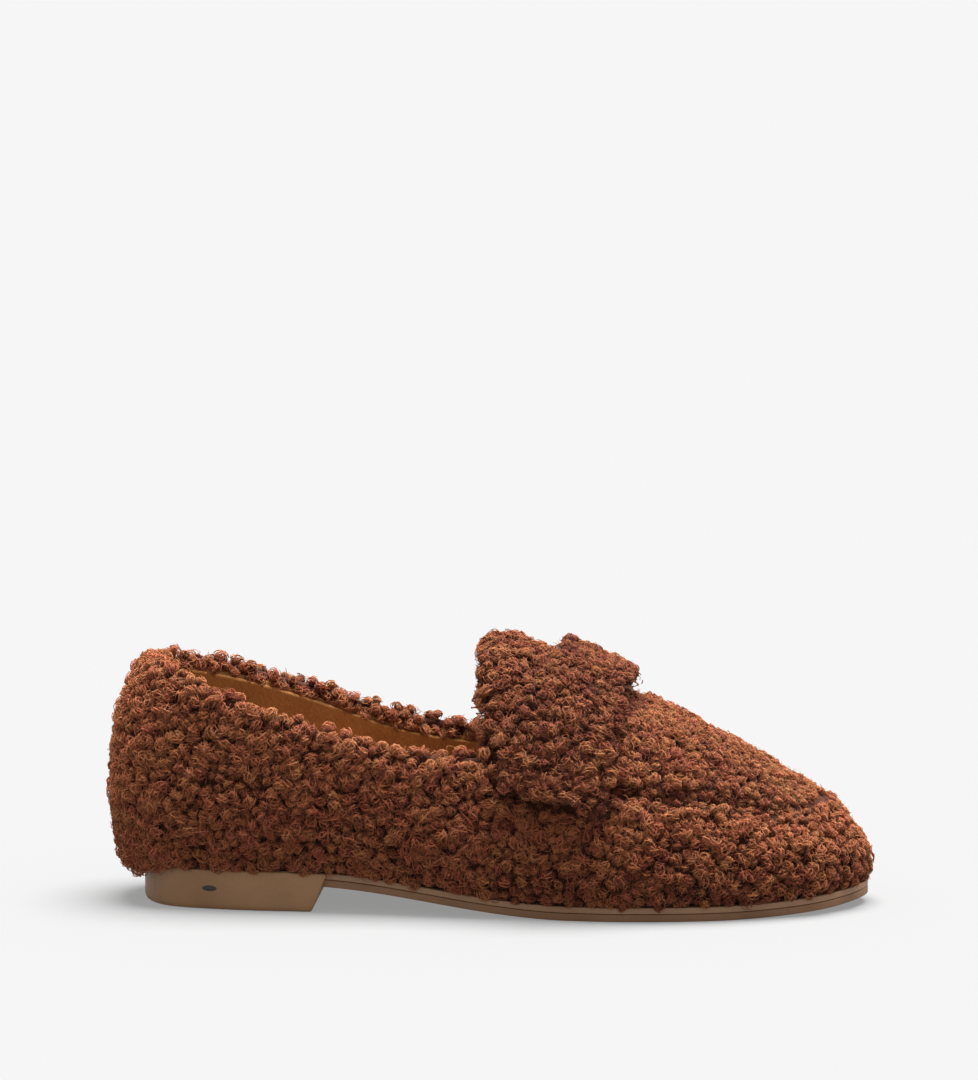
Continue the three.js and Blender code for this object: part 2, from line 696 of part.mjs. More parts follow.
const vampFrom = joinS(1) + JOIN_GAP;
const vampTo = 2 + joinS(-1) - JOIN_GAP;
add(
  "vamp",
  wallPanel(vampFrom, vampTo, 8, floor, (s) => seamLevel(s > 1 ? s - 2 : s) - SEAM_GROOVE, pileIn, pileOut),
  PILE,
);

const apronEdge = (s) => seamLevel(s) + SEAM_GROOVE;
add("apron", toePanel(12, underStrapX, apronEdge, pileIn, pileOut), PILE);

/** The saddle strap: a band over the instep, leaning back towards its ends. */
function strap(inner, outer) {
  return archPanel(
    6,
    16,
    (u, v) => {
      const side = v > 0 ? 1 : -1;
      const t = lerp(STRAP_END_LEVEL, 1, 1 - Math.abs(v));
      return { s: sAtX(side, strapRearX(t) + STRAP_WIDTH * u, t), t };
    },
    inner,
    outer,
  );
}
add("strap_backing", strap(backingIn, backingIn + STRAP_BACKING_THICKNESS), LINING);
add("saddle_strap", strap(strapIn, strapOut), PILE);

/** The tongue: the free lobe behind the strap, from topline to topline. */
function tongue(inner, outer) {
  return archPanel(
    5,
    14,
    (u, v) => {
      const side = v > 0 ? 1 : -1;
      const edge = toplineLevel(sAtX(side, THROAT + 4, 0.5), CUFF_RISE + TONGUE_EDGE_RISE);
      const t = lerp(edge, 1, 1 - Math.abs(v));
      const rear = THROAT - TONGUE_FLARE * smoothStep((1 - Math.abs(v)) / 0.5);
      return { s: sAtX(side, lerp(rear, strapRearX(t) - TONGUE_CLEARANCE, u), t), t };
    },
    inner,
    outer,
  );
}
add("tongue_lining", tongue(0, LINING_THICKNESS), LINING);
add("tongue", tongue(stiffenerIn, pileOut), PILE);

export default slipper;
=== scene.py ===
"""A moccasin house slipper in deep curly pile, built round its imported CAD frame.

The upper is cut from one knitted pile cloth: each panel has a ground cloth, curled yarn tufts
standing on it and a haze of loose fibres. Under it are a brushed lining and a two-layer moulded
sole with a low heel. Lengths are worked in millimetres on the last and handed on in metres.
"""

from __future__ import annotations

import sys

import logging
import math
from collections.abc import Callable, Sequence
from dataclasses import dataclass, field
from enum import Enum

import bmesh
import bpy
import numpy as np
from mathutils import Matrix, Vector
from mathutils.kdtree import KDTree


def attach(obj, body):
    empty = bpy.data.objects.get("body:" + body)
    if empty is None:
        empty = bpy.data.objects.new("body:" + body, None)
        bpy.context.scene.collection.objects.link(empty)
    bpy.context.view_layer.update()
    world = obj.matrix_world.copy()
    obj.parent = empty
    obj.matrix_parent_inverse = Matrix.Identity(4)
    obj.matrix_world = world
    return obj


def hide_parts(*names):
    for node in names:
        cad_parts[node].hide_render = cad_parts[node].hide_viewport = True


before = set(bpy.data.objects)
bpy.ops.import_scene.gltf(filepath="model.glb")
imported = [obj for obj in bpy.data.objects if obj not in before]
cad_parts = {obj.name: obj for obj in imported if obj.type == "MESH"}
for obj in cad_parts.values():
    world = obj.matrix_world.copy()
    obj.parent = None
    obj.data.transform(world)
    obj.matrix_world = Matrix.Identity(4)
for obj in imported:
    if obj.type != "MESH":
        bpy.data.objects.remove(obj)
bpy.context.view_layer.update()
LOG = logging.getLogger("slipper")

MM = 0.001
BAKE_MAP = "OFBake"
MOST_FACES = 190000
TRIES_PER_ROOT = 22
Array = np.ndarray
Thing = bpy.types.Object
Material = bpy.types.Material
Socket = bpy.types.NodeSocket
Surface = Callable[[Array, Array, Array], Array]


# ---------------------------------------------------------------- curves


def smooth_step(value: Array) -> Array:
    """Returns the smooth rise from 0 to 1 of values between 0 and 1."""
    v = np.clip(value, 0.0, 1.0)
    return v * v * (3 - 2 * v)


def smooth_through(points: Sequence[tuple[float, float]]) -> Callable[[Array], Array]:
    """Makes a smooth function through points that is level beyond its ends.

    Args:
        points: pairs of place and value, in rising order of place.

    Returns:
        A function of an array of places.
    """
    x = np.array([p[0] for p in points], float)
    y = np.array([p[1] for p in points], float)
    before = np.r_[0, np.arange(len(x) - 1)]
    after = np.r_[np.arange(1, len(x)), len(x) - 1]
    slope = (y[after] - y[before]) / (x[after] - x[before])

    def value(at: Array) -> Array:
        """Returns the function's values at an array of places."""
        a = np.clip(np.asarray(at, float), x[0], x[-1])
        i = np.clip(np.searchsorted(x, a, side="right") - 1, 0, len(x) - 2)
        h = x[i + 1] - x[i]
        t = (a - x[i]) / h
        rise = (2 * t**3 - 3 * t**2 + 1) * y[i] + (t**3 - 2 * t**2 + t) * h * slope[i]
        return rise + (3 * t**2 - 2 * t**3) * y[i + 1] + (t**3 - t**2) * h * slope[i + 1]

    return value


def unit(rows: Array, least: float = 1e-9) -> Array:
    """Returns rows scaled to length 1, a row shorter than the least length being divided by that."""
    return rows / np.maximum(np.linalg.norm(rows, axis=-1, keepdims=True), least)


def closed_curve(points: Array, at: Array) -> Array:
    """Gives points on a closed centripetal Catmull-Rom curve.

    Args:
        points: the curve's corner points, one row each.
        at: places along it, a whole turn being 1.

    Returns:
        One row for each place.
    """
    count = len(points)
    place = (np.asarray(at, float) % 1.0) * count
    i = np.floor(place).astype(int) % count
    w = (place - np.floor(place))[:, None]
    p0, p1, p2, p3 = (points[(i + k) % count] for k in (-1, 0, 1, 2))
    d0, d1, d2 = (
        np.sqrt(np.linalg.norm(b - a, axis=1))[:, None] for a, b in ((p0, p1), (p1, p2), (p2, p3))
    )
    m1 = ((p1 - p0) / d0 - (p2 - p0) / (d0 + d1) + (p2 - p1) / d1) * d1
    m2 = ((p2 - p1) / d1 - (p3 - p1) / (d1 + d2) + (p3 - p2) / d2) * d1
    a = -3 * p1 + 3 * p2 - 2 * m1 - m2
    b = 2 * p1 - 2 * p2 + m1 + m2
    return p1 + m1 * w + a * w**2 + b * w**3


# ---------------------------------------------------------------- the last


@dataclass
class Last:
    """The shape that the slipper is pulled over, with the sole's outline and heights (mm)."""

    sole_length: float = 248.2
    heel_back: float = -28.4
    heel_width: float = 53.5
    waist_outer: float = 31.0
    waist_inner: float = 25.0
    ball_outer: float = 43.0
    ball_inner: float = 40.5
    toe_shift: float = 3.0
    outsole: float = 2.4
    midsole: float = 2.2
    toe_spring: float = 3.2
    spring_length: float = 54.0
    shank_front: float = 118.0
    shank_start: float = 8.0
    heel_underside: float = 9.0
    heel_rim: float = 1.8
    heel_breast: float = 30.2
    seat: float = 0.3
    gap: float = 0.5
    lining: float = 1.3
    stiffener: float = 1.0
    pile: float = 6.0
    backing: float = 0.8
    strap_pile: float = 4.2
    throat: float = 90.0
    join: float = 100.0
    strap_rear_top: float = 111.0
    strap_rear_end: float = 95.5
    strap_end_level: float = 0.27
    strap_width: float = 26.6
    strap_splay: float = 7.9
    seam_height: float = 45.0
    seam_fall: float = 0.165
    instep_height: float = 85.5
    toe_height: float = 33.0
    topline_back: float = 79.0
    topline_throat: float = 49.5
    wall_power: float = 2 / 2.35
    belly_level: float = 0.3
    table: dict[str, Array] = field(default_factory=dict)

    def __post_init__(self) -> None:
        """Works out the layers' distances and the tables of the walls' ends."""
        self.toe = self.heel_back + self.sole_length
        self.stiffener_in = self.lining + self.gap
        self.pile_in = self.stiffener_in + self.stiffener + self.gap
        self.pile_out = self.pile_in + self.pile
        self.backing_in = self.pile_out + self.gap
        self.strap_in = self.backing_in + self.backing + self.gap
        self.strap_out = self.strap_in + self.strap_pile
        self.sole_top = self.outsole + self.seat + self.midsole
        self.ridge = smooth_through([
            (self.heel_back - 1.6, 118),
            (self.throat - 50, 108),
            (self.throat + 3.5, self.instep_height),
            (self.strap_rear_top + 1, self.instep_height - 8.5),
            (self.strap_rear_top + 15, self.instep_height - 14.5),
            (self.toe - 73.8, self.toe_height + 28.2),
            (self.toe - 54.8, self.toe_height + 18.8),
            (self.toe - 38.8, self.toe_height + 12),
            (self.toe - 27.8, self.toe_height + 5.5),
            (self.toe - 19.8, self.toe_height),
        ])
        self.topline = smooth_through([
            (-36, self.topline_back),
            (-6, self.topline_back - 5),
            (29, (self.topline_throat + self.topline_back) / 2),
            (58, self.topline_throat + 5.2),
            (self.throat, self.topline_throat),
            (self.join + 12, self.topline_throat - 1),
        ])
        self.overhang = smooth_through([(0, 5), (0.115, 3.8), (0.4, 2.2), (0.665, 1.4), (1, 0.2)])
        self.belly = smooth_through(
            [(0, 10.5), (0.115, 5.5), (0.4, 4), (0.665, 3.4), (0.9, 2.4), (1, 2)]
        )
        self.corners = self.outline_corners()
        self.fill_table()

    def outline_corners(self) -> Array:
        """Returns the corner points of the sole's outline, from the heel round by the outer side."""
        waist, ball = (self.waist_outer, self.waist_inner), (self.ball_outer, self.ball_inner)
        heel = self.heel_width / 2
        stations = [
            (0.027, heel * 0.7, heel * 0.7),
            (0.115, heel, heel * 0.97),
            (0.32, *waist),
            (0.5, waist[0] + (ball[0] - waist[0]) * 0.6, waist[1] + (ball[1] - waist[1]) * 0.5),
            (0.665, ball[0], waist[1] + (ball[1] - waist[1]) * 0.92),
            (0.825, ball[0] * 0.85, ball[1] * 0.94),
            (0.95, ball[0] * 0.48, ball[1] * 0.6),
        ]
        outer = [(self.heel_back + self.sole_length * share, -a) for share, a, _ in stations]
        inner = [(self.heel_back + self.sole_length * share, b) for share, _, b in stations]
        tips = [(self.heel_back, 0.0)], [(self.toe, self.toe_shift)]
        return np.array([*tips[0], *outer, *tips[1], *inner[::-1]])

    def edge(self, s: Array, inset: Array | float = 0.0) -> Array:
        """Gives plan points of the sole's edge.

        Args:
            s: places from 0 at the heel to 1 (outer side) or -1 (inner side) at the toe.
            inset: how far the edge is moved in, square to itself.

        Returns:
            One row of x and y for each place.
        """
        s = np.asarray(s, float)
        step = 0.002
        ahead, behind = (closed_curve(self.corners, (s + k) / 2) for k in (step, -step))
        run = unit(ahead - behind)
        square = np.stack([-run[:, 1], run[:, 0]], 1)
        return closed_curve(self.corners, s / 2) + square * np.reshape(inset, (-1, 1))

    def underside(self, x: Array) -> Array:
        """Returns the height of the outsole's underside at x."""
        shank = self.heel_breast - self.shank_start
        drop = self.heel_underside * (1 - smooth_step((x - shank) / (self.shank_front - shank)))
        spring = np.clip((x - self.toe + self.spring_length) / self.spring_length, 0, 1) ** 2
        return drop + self.toe_spring * spring

    def feather(self, x: Array) -> Array:
        """Returns the height on which the upper and the insole board stand."""
        return self.underside(x) + self.sole_top + self.seat

    def fill_table(self) -> None:
        """Tabulates the foot and ridge point of the wall at each place round the shoe."""
        s = np.linspace(-1, 1, 1601)
        share = np.clip((self.edge(s)[:, 0] - self.heel_back) / self.sole_length, 0, 1)
        foot = self.edge(s, self.pile_out - self.overhang(share))
        sides = self.edge(np.abs(s), self.pile_out), self.edge(-np.abs(s), self.pile_out)
        mean = (sides[0][:, 0] + sides[1][:, 0]) / 2
        ends = self.edge(np.array([0.0, 1.0]), self.pile_out)[:, 0]
        back = 34 * (1 - np.clip((mean - ends[0]) / 80, 0, 1)) ** 2
        front = 13 * np.clip((mean - ends[1] + 45) / 45, 0, 1) ** 2
        x = mean + back - front
        self.table = {
            "s": s,
            "foot_x": foot[:, 0],
            "foot_y": foot[:, 1],
            "foot_z": self.feather(foot[:, 0]),
            "ridge_x": x,
            "ridge_y": self.toe_shift * smooth_step((x - self.join) / (self.toe - self.join)),
            "ridge_z": self.ridge(x),
            "belly": self.belly(share),
        }

    def look_up(self, s: Array, *names: str) -> list[Array]:
        """Returns columns of the walls' table at places that may run past the toe or the heel."""
        wrapped = (np.asarray(s, float) + 1) % 2 - 1
        return [np.interp(wrapped, self.table["s"], self.table[name]) for name in names]

    def point(self, s: Array, t: Array) -> Array:
        """Gives points of the last's surface.

        Args:
            s: places round the shoe.
            t: levels, 0 at the feather line and 1 on the ridge.

        Returns:
            One row of x, y and z for each place.
        """
        names = ("foot_x", "foot_y", "foot_z", "ridge_x", "ridge_y", "ridge_z", "belly")
        fx, fy, fz, rx, ry, rz, belly = self.look_up(s, *names)
        angle = np.clip(t, 0, 1) * math.pi / 2
        rise = np.sin(angle) ** self.wall_power
        inward = 1 - np.clip(np.cos(angle), 0, 1) ** self.wall_power
        level = rise / self.belly_level
        out = belly * level * np.exp(1 - level) * (1 - rise**3)
        reach = np.hypot(rx - fx, ry - fy)
        share = inward - out / reach
        return np.stack([fx + (rx - fx) * share, fy + (ry - fy) * share, fz + (rz - fz) * rise], 1)

    def normal(self, s: Array, t: Array) -> Array:
        """Returns the outward direction of the last's surface, level at the feather line."""
        step = 0.004
        along = self.point(s + step, t) - self.point(s - step, t)
        up = self.point(s, t + step) - self.point(s, np.maximum(0, t - step))
        n = np.cross(along, up)
        ahead, behind = (
            np.stack(self.look_up(np.clip(np.abs(s) + k, 0, 1), "ridge_x", "ridge_z"), 1)
            for k in (step, -step)
        )
        crest = np.stack(
            [behind[:, 1] - ahead[:, 1], np.zeros(len(s)), ahead[:, 0] - behind[:, 0]], 1
        )
        share = smooth_step((t - 0.96) / 0.03)[:, None]
        n = unit(n) * (1 - share) + unit(crest) * share
        n[:, 2] *= smooth_step(t / 0.12)
        return unit(n)

    def layer(self, s: Array, t: Array, distance: Array | float) -> Array:
        """Gives points at a distance outside the last, following the sole's rise at the bottom."""
        s, t = np.asarray(s, float), np.asarray(t, float)
        p = self.point(s, t) + self.normal(s, t) * np.reshape(distance, (-1, 1))
        foot = self.look_up(s, "foot_x")[0]
        p[:, 2] += (self.feather(p[:, 0]) - self.feather(foot)) * (1 - smooth_step(t / 0.5))
        return p

    def s_at_x(self, side: Array, x: Array, t: Array) -> Array:
        """Returns the place on a side (1 outer, -1 inner) where level t reaches x."""
        side, x, t = np.broadcast_arrays(np.asarray(side, float), x, t)
        low, high = np.zeros(len(t)), np.ones(len(t))
        for _ in range(30):
            middle = (low + high) / 2
            short = self.point(side * middle, t)[:, 0] < x
            low, high = np.where(short, middle, low), np.where(short, high, middle)
        return side * (low + high) / 2

    def join_at(self, side: float) -> float:
        """Returns the place on a side where quarter and vamp meet."""
        return float(self.s_at_x(np.array([side]), np.array([self.join]), np.array([0.3]))[0])

    def level_at_height(self, s: Array, height: Array) -> Array:
        """Returns the level at which the wall at s reaches a height."""
        low, high = self.look_up(s, "foot_z", "ridge_z")
        rise = np.clip((height - low) / (high - low), 0, 1)
        return np.arcsin(rise ** (1 / self.wall_power)) * 2 / math.pi

    def topline_level(self, s: Array, raised: Array | float = 0.0) -> Array:
        """Returns the level of the lining's edge at s, raised by a number of mm."""
        t = np.full(len(s), 0.6)
        for _ in range(12):
            t = self.level_at_height(s, self.topline(self.point(s, t)[:, 0]) + raised)
        return t

    def strap_rear(self, t: Array) -> Array:
        """Returns x of the strap's rear edge at a level of the wall."""
        rise = (t - self.strap_end_level) / (1 - self.strap_end_level)
        return self.strap_rear_end + (self.strap_rear_top - self.strap_rear_end) * smooth_step(rise)

    def seam_level(self, s: Array) -> Array:
        """Returns the level of the apron seam at s."""
        x = self.point(s, np.full(len(s), 0.4))[:, 0]
        fall = self.seam_fall * np.maximum(0, x - self.strap_rear_top)
        side = self.level_at_height(s, self.seam_height - fall)
        turn = smooth_step((np.abs(s) - 0.8) / 0.2)
        return side + (np.maximum(side, 0.8) - side) * turn


def over_ridge(v: Array) -> tuple[Array, Array]:
    """Returns the side (1 outer, -1 inner) and the share of the way up for places v across the shoe."""
    return np.where(v < 0.5, 1.0, -1.0), 1 - np.abs(1 - 2 * v)


# ---------------------------------------------------------------- meshes


def new_object(name: str, data: bpy.types.ID) -> Thing:
    """Makes an object of a mesh, lamp or camera and links it to the scene."""
    thing = bpy.data.objects.new(name, data)
    bpy.context.scene.collection.objects.link(thing)
    return thing


def face_object(name: str, points: Array, faces: list[list[int]]) -> Thing:
    """Makes a smooth object of points in mm and faces of any number of corners."""
    mesh = bpy.data.meshes.new(name)
    mesh.from_pydata((points * MM).tolist(), [], faces)
    mesh.update()
    mesh.shade_smooth()
    return new_object(name, mesh)


def ring_quads(rings: int, count: int) -> tuple[Array, Array]:
    """Returns the numbers of the points of closed rings and the quads from each ring to the next."""
    number = np.arange(rings * count).reshape(rings, count)
    following = np.roll(number, -1, axis=1)
    quads = np.stack([number[:-1], following[:-1], following[1:], number[1:]], -1)
    return number, quads.reshape(-1, 4)


def tree_of(points: Array) -> KDTree:
    """Returns a search tree of points."""
    tree = KDTree(len(points))
    for i, point in enumerate(points):
        tree.insert(point, i)
    tree.balance()
    return tree


@dataclass
class MeshData:
    """Vertices in mm with the faces that join them."""

    points: Array
    faces: Array

    def to_object(self, name: str) -> Thing:
        """Makes a Blender object of the mesh, in metres and shaded smooth."""
        mesh = bpy.data.meshes.new(name)
        faces = np.asarray(self.faces, np.int32)
        count, width = faces.shape
        mesh.vertices.add(len(self.points))
        mesh.vertices.foreach_set("co", (self.points * MM).astype(np.float32).ravel())
        mesh.loops.add(count * width)
        mesh.loops.foreach_set("vertex_index", faces.ravel())
        mesh.polygons.add(count)
        mesh.polygons.foreach_set("loop_start", np.arange(0, count * width, width, dtype=np.int32))
        mesh.polygons.foreach_set("use_smooth", np.full(count, True))
        mesh.update(calc_edges=True)
        mesh.validate()
        return new_object(name, mesh)


def grid_shell(
    surface: Surface,
    columns: int,
    rows: int,
    inner: float,
    outer: float,
) -> MeshData:
    """Makes a closed panel between two distances over a grid of u and v from 0 to 1.

    Args:
        surface: gives points for arrays of u, v and distance.
        columns: steps along u.
        rows: steps along v.
        inner: distance of the inner face.
        outer: distance of the outer face.

    Returns:
        The panel, its first half of points on the inner face and the rest on the outer one.
    """
    u, v = np.meshgrid(np.linspace(0, 1, columns + 1), np.linspace(0, 1, rows + 1))
    u, v = u.ravel(), v.ravel()
    layers = [surface(u, v, np.full(len(u), d)) for d in (inner, outer)]
    number = np.arange(len(u)).reshape(rows + 1, columns + 1)
    a, b, c, d = number[:-1, :-1], number[:-1, 1:], number[1:, 1:], number[1:, :-1]
    out = np.stack([a, b, c, d], -1).reshape(-1, 4)
    rim = np.concatenate([
        number[0, :], number[1:, -1], number[-1, -2::-1], number[-2:0:-1, 0],
    ])
    following = np.roll(rim, -1)
    size = len(u)
    walls = np.stack([rim, following, following + size, rim + size], 1)
    faces = np.concatenate([out[:, ::-1], out + size, walls])
    return MeshData(np.concatenate(layers), faces)


def soften(thing: Thing, voxel: float, rounds: int) -> None:
    """Rebuilds a closed mesh in even small faces and rounds its edges.

    Args:
        thing: the object to change.
        voxel: size of the new faces, in mm.
        rounds: how often the new mesh is smoothed.
    """
    remesh = thing.modifiers.new("even", "REMESH")
    remesh.mode = "VOXEL"
    remesh.voxel_size = voxel * MM
    remesh.use_smooth_shade = True
    relax = thing.modifiers.new("relax", "SMOOTH")
    relax.factor = 0.5
    relax.iterations = rounds
    graph = bpy.context.evaluated_depsgraph_get()
    made = bpy.data.meshes.new_from_object(thing.evaluated_get(graph), depsgraph=graph)
    old = thing.data
    thing.modifiers.clear()
    thing.data = made
    bpy.data.meshes.remove(old)


def read_points(thing: Thing) -> tuple[Array, Array]:
    """Returns an object's vertices and vertex normals, in mm."""
    mesh = thing.data
    points = np.empty(len(mesh.vertices) * 3, np.float32)
    normals = np.empty_like(points)
    mesh.vertices.foreach_get("co", points)
    mesh.vertex_normals.foreach_get("vector", normals)
    return points.reshape(-1, 3).astype(float) / MM, normals.reshape(-1, 3).astype(float)


def read_triangles(thing: Thing) -> Array:
    """Returns the vertex numbers of an object's triangles."""
    mesh = thing.data
    mesh.calc_loop_triangles()
    found = np.empty(len(mesh.loop_triangles) * 3, np.int32)
    mesh.loop_triangles.foreach_get("vertices", found)
    return found.reshape(-1, 3)


def spread_points(
    rng: np.random.Generator,
    points: Array,
    normals: Array,
    triangles: Array,
    weight: Array,
    spacing: float,
) -> tuple[Array, Array]:
    """Scatters roots over a surface so that no two are nearer than the spacing.

    Args:
        rng: source of random numbers.
        points: the surface's vertices.
        normals: their normals.
        triangles: their triangles.
        weight: 1 for each vertex that may carry roots, 0 for the others.
        spacing: least distance between roots, in mm.

    Returns:
        The roots and their normals.
    """
    chosen = triangles[weight[triangles].min(axis=1) > 0.5]
    a, b, c = (points[chosen[:, k]] for k in range(3))
    area = np.linalg.norm(np.cross(b - a, c - a), axis=1) / 2
    tries = int(area.sum() / spacing**2 * TRIES_PER_ROOT)
    pick = rng.choice(len(chosen), tries, p=area / area.sum())
    r1, r2 = np.sqrt(rng.random(tries)), rng.random(tries)
    share = np.stack([1 - r1, r1 * (1 - r2), r1 * r2], 1)[:, :, None]
    places = (points[chosen[pick]] * share).sum(1)
    ways = (normals[chosen[pick]] * share).sum(1)
    cells: dict[tuple[int, int, int], list[int]] = {}
    kept: list[int] = []
    keys = np.floor(places / spacing).astype(int)
    near = [(i, j, k) for i in (-1, 0, 1) for j in (-1, 0, 1) for k in (-1, 0, 1)]
    flat = places.tolist()
    limit = spacing * spacing
    for index, key in enumerate(keys.tolist()):
        x, y, z = flat[index]
        clash = False
        for i, j, k in near:
            for other in cells.get((key[0] + i, key[1] + j, key[2] + k), ()):
                p = flat[other]
                if (p[0] - x) ** 2 + (p[1] - y) ** 2 + (p[2] - z) ** 2 < limit:
                    clash = True
                    break
            if clash:
                break
        if not clash:
            cells.setdefault(tuple(key), []).append(index)
            kept.append(index)
    return places[kept], unit(ways[kept])


def circle(angle: Array, a: Array, b: Array) -> Array:
    """Gives the points at angles on unit circles whose axes are a and b, one circle to each row."""
    return a[:, None] * np.cos(angle)[..., None] + b[:, None] * np.sin(angle)[..., None]


def square_frames(normals: Array, rng: np.random.Generator) -> tuple[Array, Array]:
    """Returns two directions square to each normal and to each other, turned at random."""
    rough = rng.normal(size=normals.shape)
    a = unit(rough - normals * (rough * normals).sum(1)[:, None])
    return a, np.cross(normals, a)


def tubes(paths: Array, radii: Array, sides: int) -> Array:
    """Makes a closed tube along each path.

    Args:
        paths: points, shaped (tubes, steps, 3).
        radii: radius at each point, shaped (tubes, steps).
        sides: sides of the tube's section.

    Returns:
        Vertices shaped (tubes, steps, sides, 3).
    """
    run = unit(np.gradient(paths, axis=1))
    side = np.empty_like(run)
    side[:, 0] = unit(np.cross(run[:, 0], np.array([0.31, 0.55, 0.77])))
    for k in range(1, paths.shape[1]):  # carry the section along without twisting it
        side[:, k] = unit(side[:, k - 1] - run[:, k] * (side[:, k - 1] * run[:, k]).sum(1)[:, None])
    other = np.cross(run, side)
    angle = np.arange(sides) * 2 * math.pi / sides
    ring = (
        side[:, :, None] * np.cos(angle)[None, None, :, None]
        + other[:, :, None] * np.sin(angle)[None, None, :, None]
    )
    return paths[:, :, None] + ring * radii[:, :, None, None]


def tube_faces(steps: int, sides: int) -> Array:
    """Returns the triangles of one closed tube with flat ends, facing out."""
    faces = []
    for k in range(steps - 1):
        for j in range(sides):
            a, b = k * sides + j, k * sides + (j + 1) % sides
            c, d = b + sides, a + sides
            faces += [(a, b, c), (a, c, d)]
    last = (steps - 1) * sides
    for j in range(1, sides - 1):
        faces += [(0, j + 1, j), (last, last + j, last + j + 1)]
    return np.array(faces, np.int32)


# ---------------------------------------------------------------- finishes


class Slot(Enum):
    """The names of the record's material slots."""

    PILE = "pile"
    LINING = "lining"
    HEEL = "heel_rubber"
    TREAD = "tread_rubber"
    MIDSOLE = "midsole"
    BOARD = "board"
    CORK = "cork"
    FOAM = "foam"
    STIFFENER = "stiffener"
    STEEL = "steel"


Colour = tuple[float, float, float]


def linear(colour: Colour) -> tuple[float, float, float, float]:
    """Returns the scene value of a colour given in 0 to 255 as it is seen."""
    parts = [c / 255 for c in colour]
    value = [c / 12.92 if c <= 0.04045 else ((c + 0.055) / 1.055) ** 2.4 for c in parts]
    return value[0], value[1], value[2], 1.0


class Nodes:
    """A small helper that adds and joins the nodes of one material."""

    def __init__(self, name: str) -> None:
        """Starts an empty material with a Principled surface."""
        self.material = bpy.data.materials.new(name)
        self.material.use_nodes = True
        self.tree = self.material.node_tree
        self.surface = self.tree.nodes["Principled BSDF"]

    def add(self, kind: str, **settings: object) -> bpy.types.Node:
        """Adds a node; settings that are named like an input set that input."""
        node = self.tree.nodes.new(kind)
        for key, value in settings.items():
            label = key.replace("_", " ")
            if label in node.inputs:
                node.inputs[label].default_value = value
            else:
                setattr(node, key, value)
        return node

    def join(self, source: Socket, target: Socket) -> None:
        """Links two sockets."""
        self.tree.links.new(source, target)

    def surface_value(self, **values: object) -> None:
        """Sets inputs of the Principled surface."""
        for key, value in values.items():
            self.surface.inputs[key.replace("_", " ")].default_value = value

    def noise(self, scale: float, detail: float, stretch: Sequence[float] | None = None) -> Socket:
        """Adds object-space noise, its scale in features per metre, and returns its value."""
        node = self.add("ShaderNodeTexNoise", Scale=scale, Detail=detail)
        place = self.add("ShaderNodeTexCoord").outputs["Object"]
        if stretch:
            mapping = self.add("ShaderNodeMapping", Scale=tuple(stretch))
            self.join(place, mapping.inputs["Vector"])
            place = mapping.outputs["Vector"]
        self.join(place, node.inputs["Vector"])
        return node.outputs["Fac"]

    def ramp(self, value: Socket, stops: Sequence[tuple[float, Colour]]) -> Socket:
        """Adds a colour ramp over a value and returns its colour."""
        node = self.add("ShaderNodeValToRGB")
        points = node.color_ramp.elements
        while len(points) < len(stops):
            points.new(0.5)
        for point, (place, colour) in zip(points, stops):
            point.position, point.color = place, linear(colour)
        self.join(value, node.inputs["Fac"])
        return node.outputs["Color"]

    def math(self, operation: str, a: object, b: object) -> Socket:
        """Adds a maths node over sockets or numbers and returns its value."""
        node = self.add("ShaderNodeMath", operation=operation)
        for slot, value in zip(node.inputs, (a, b)):
            if isinstance(value, Socket):
                self.join(value, slot)
            else:
                slot.default_value = value
        return node.outputs["Value"]

    def swing(self, value: Socket, width: float) -> Socket:
        """Turns a value from 0 to 1 into one of the given width round 0."""
        return self.math("MULTIPLY", self.math("SUBTRACT", value, 0.5), width)

    def blend(self, a: Socket, b: Socket, share: float) -> Socket:
        """Blends two values, the first by its share and the other by the rest."""
        return self.math("ADD", self.math("MULTIPLY", a, share), self.math("MULTIPLY", b, 1 - share))

    def colour(self, value: Socket, stops: Sequence[tuple[float, Colour]]) -> None:
        """Colours the surface by a ramp over a value."""
        self.join(self.ramp(value, stops), self.surface.inputs["Base Color"])

    def bump(self, height: Socket, distance: float, strength: float) -> None:
        """Adds a bump of a height in metres to the surface."""
        node = self.add("ShaderNodeBump", Distance=distance, Strength=strength)
        self.join(height, node.inputs["Height"])
        self.join(node.outputs["Normal"], self.surface.inputs["Normal"])


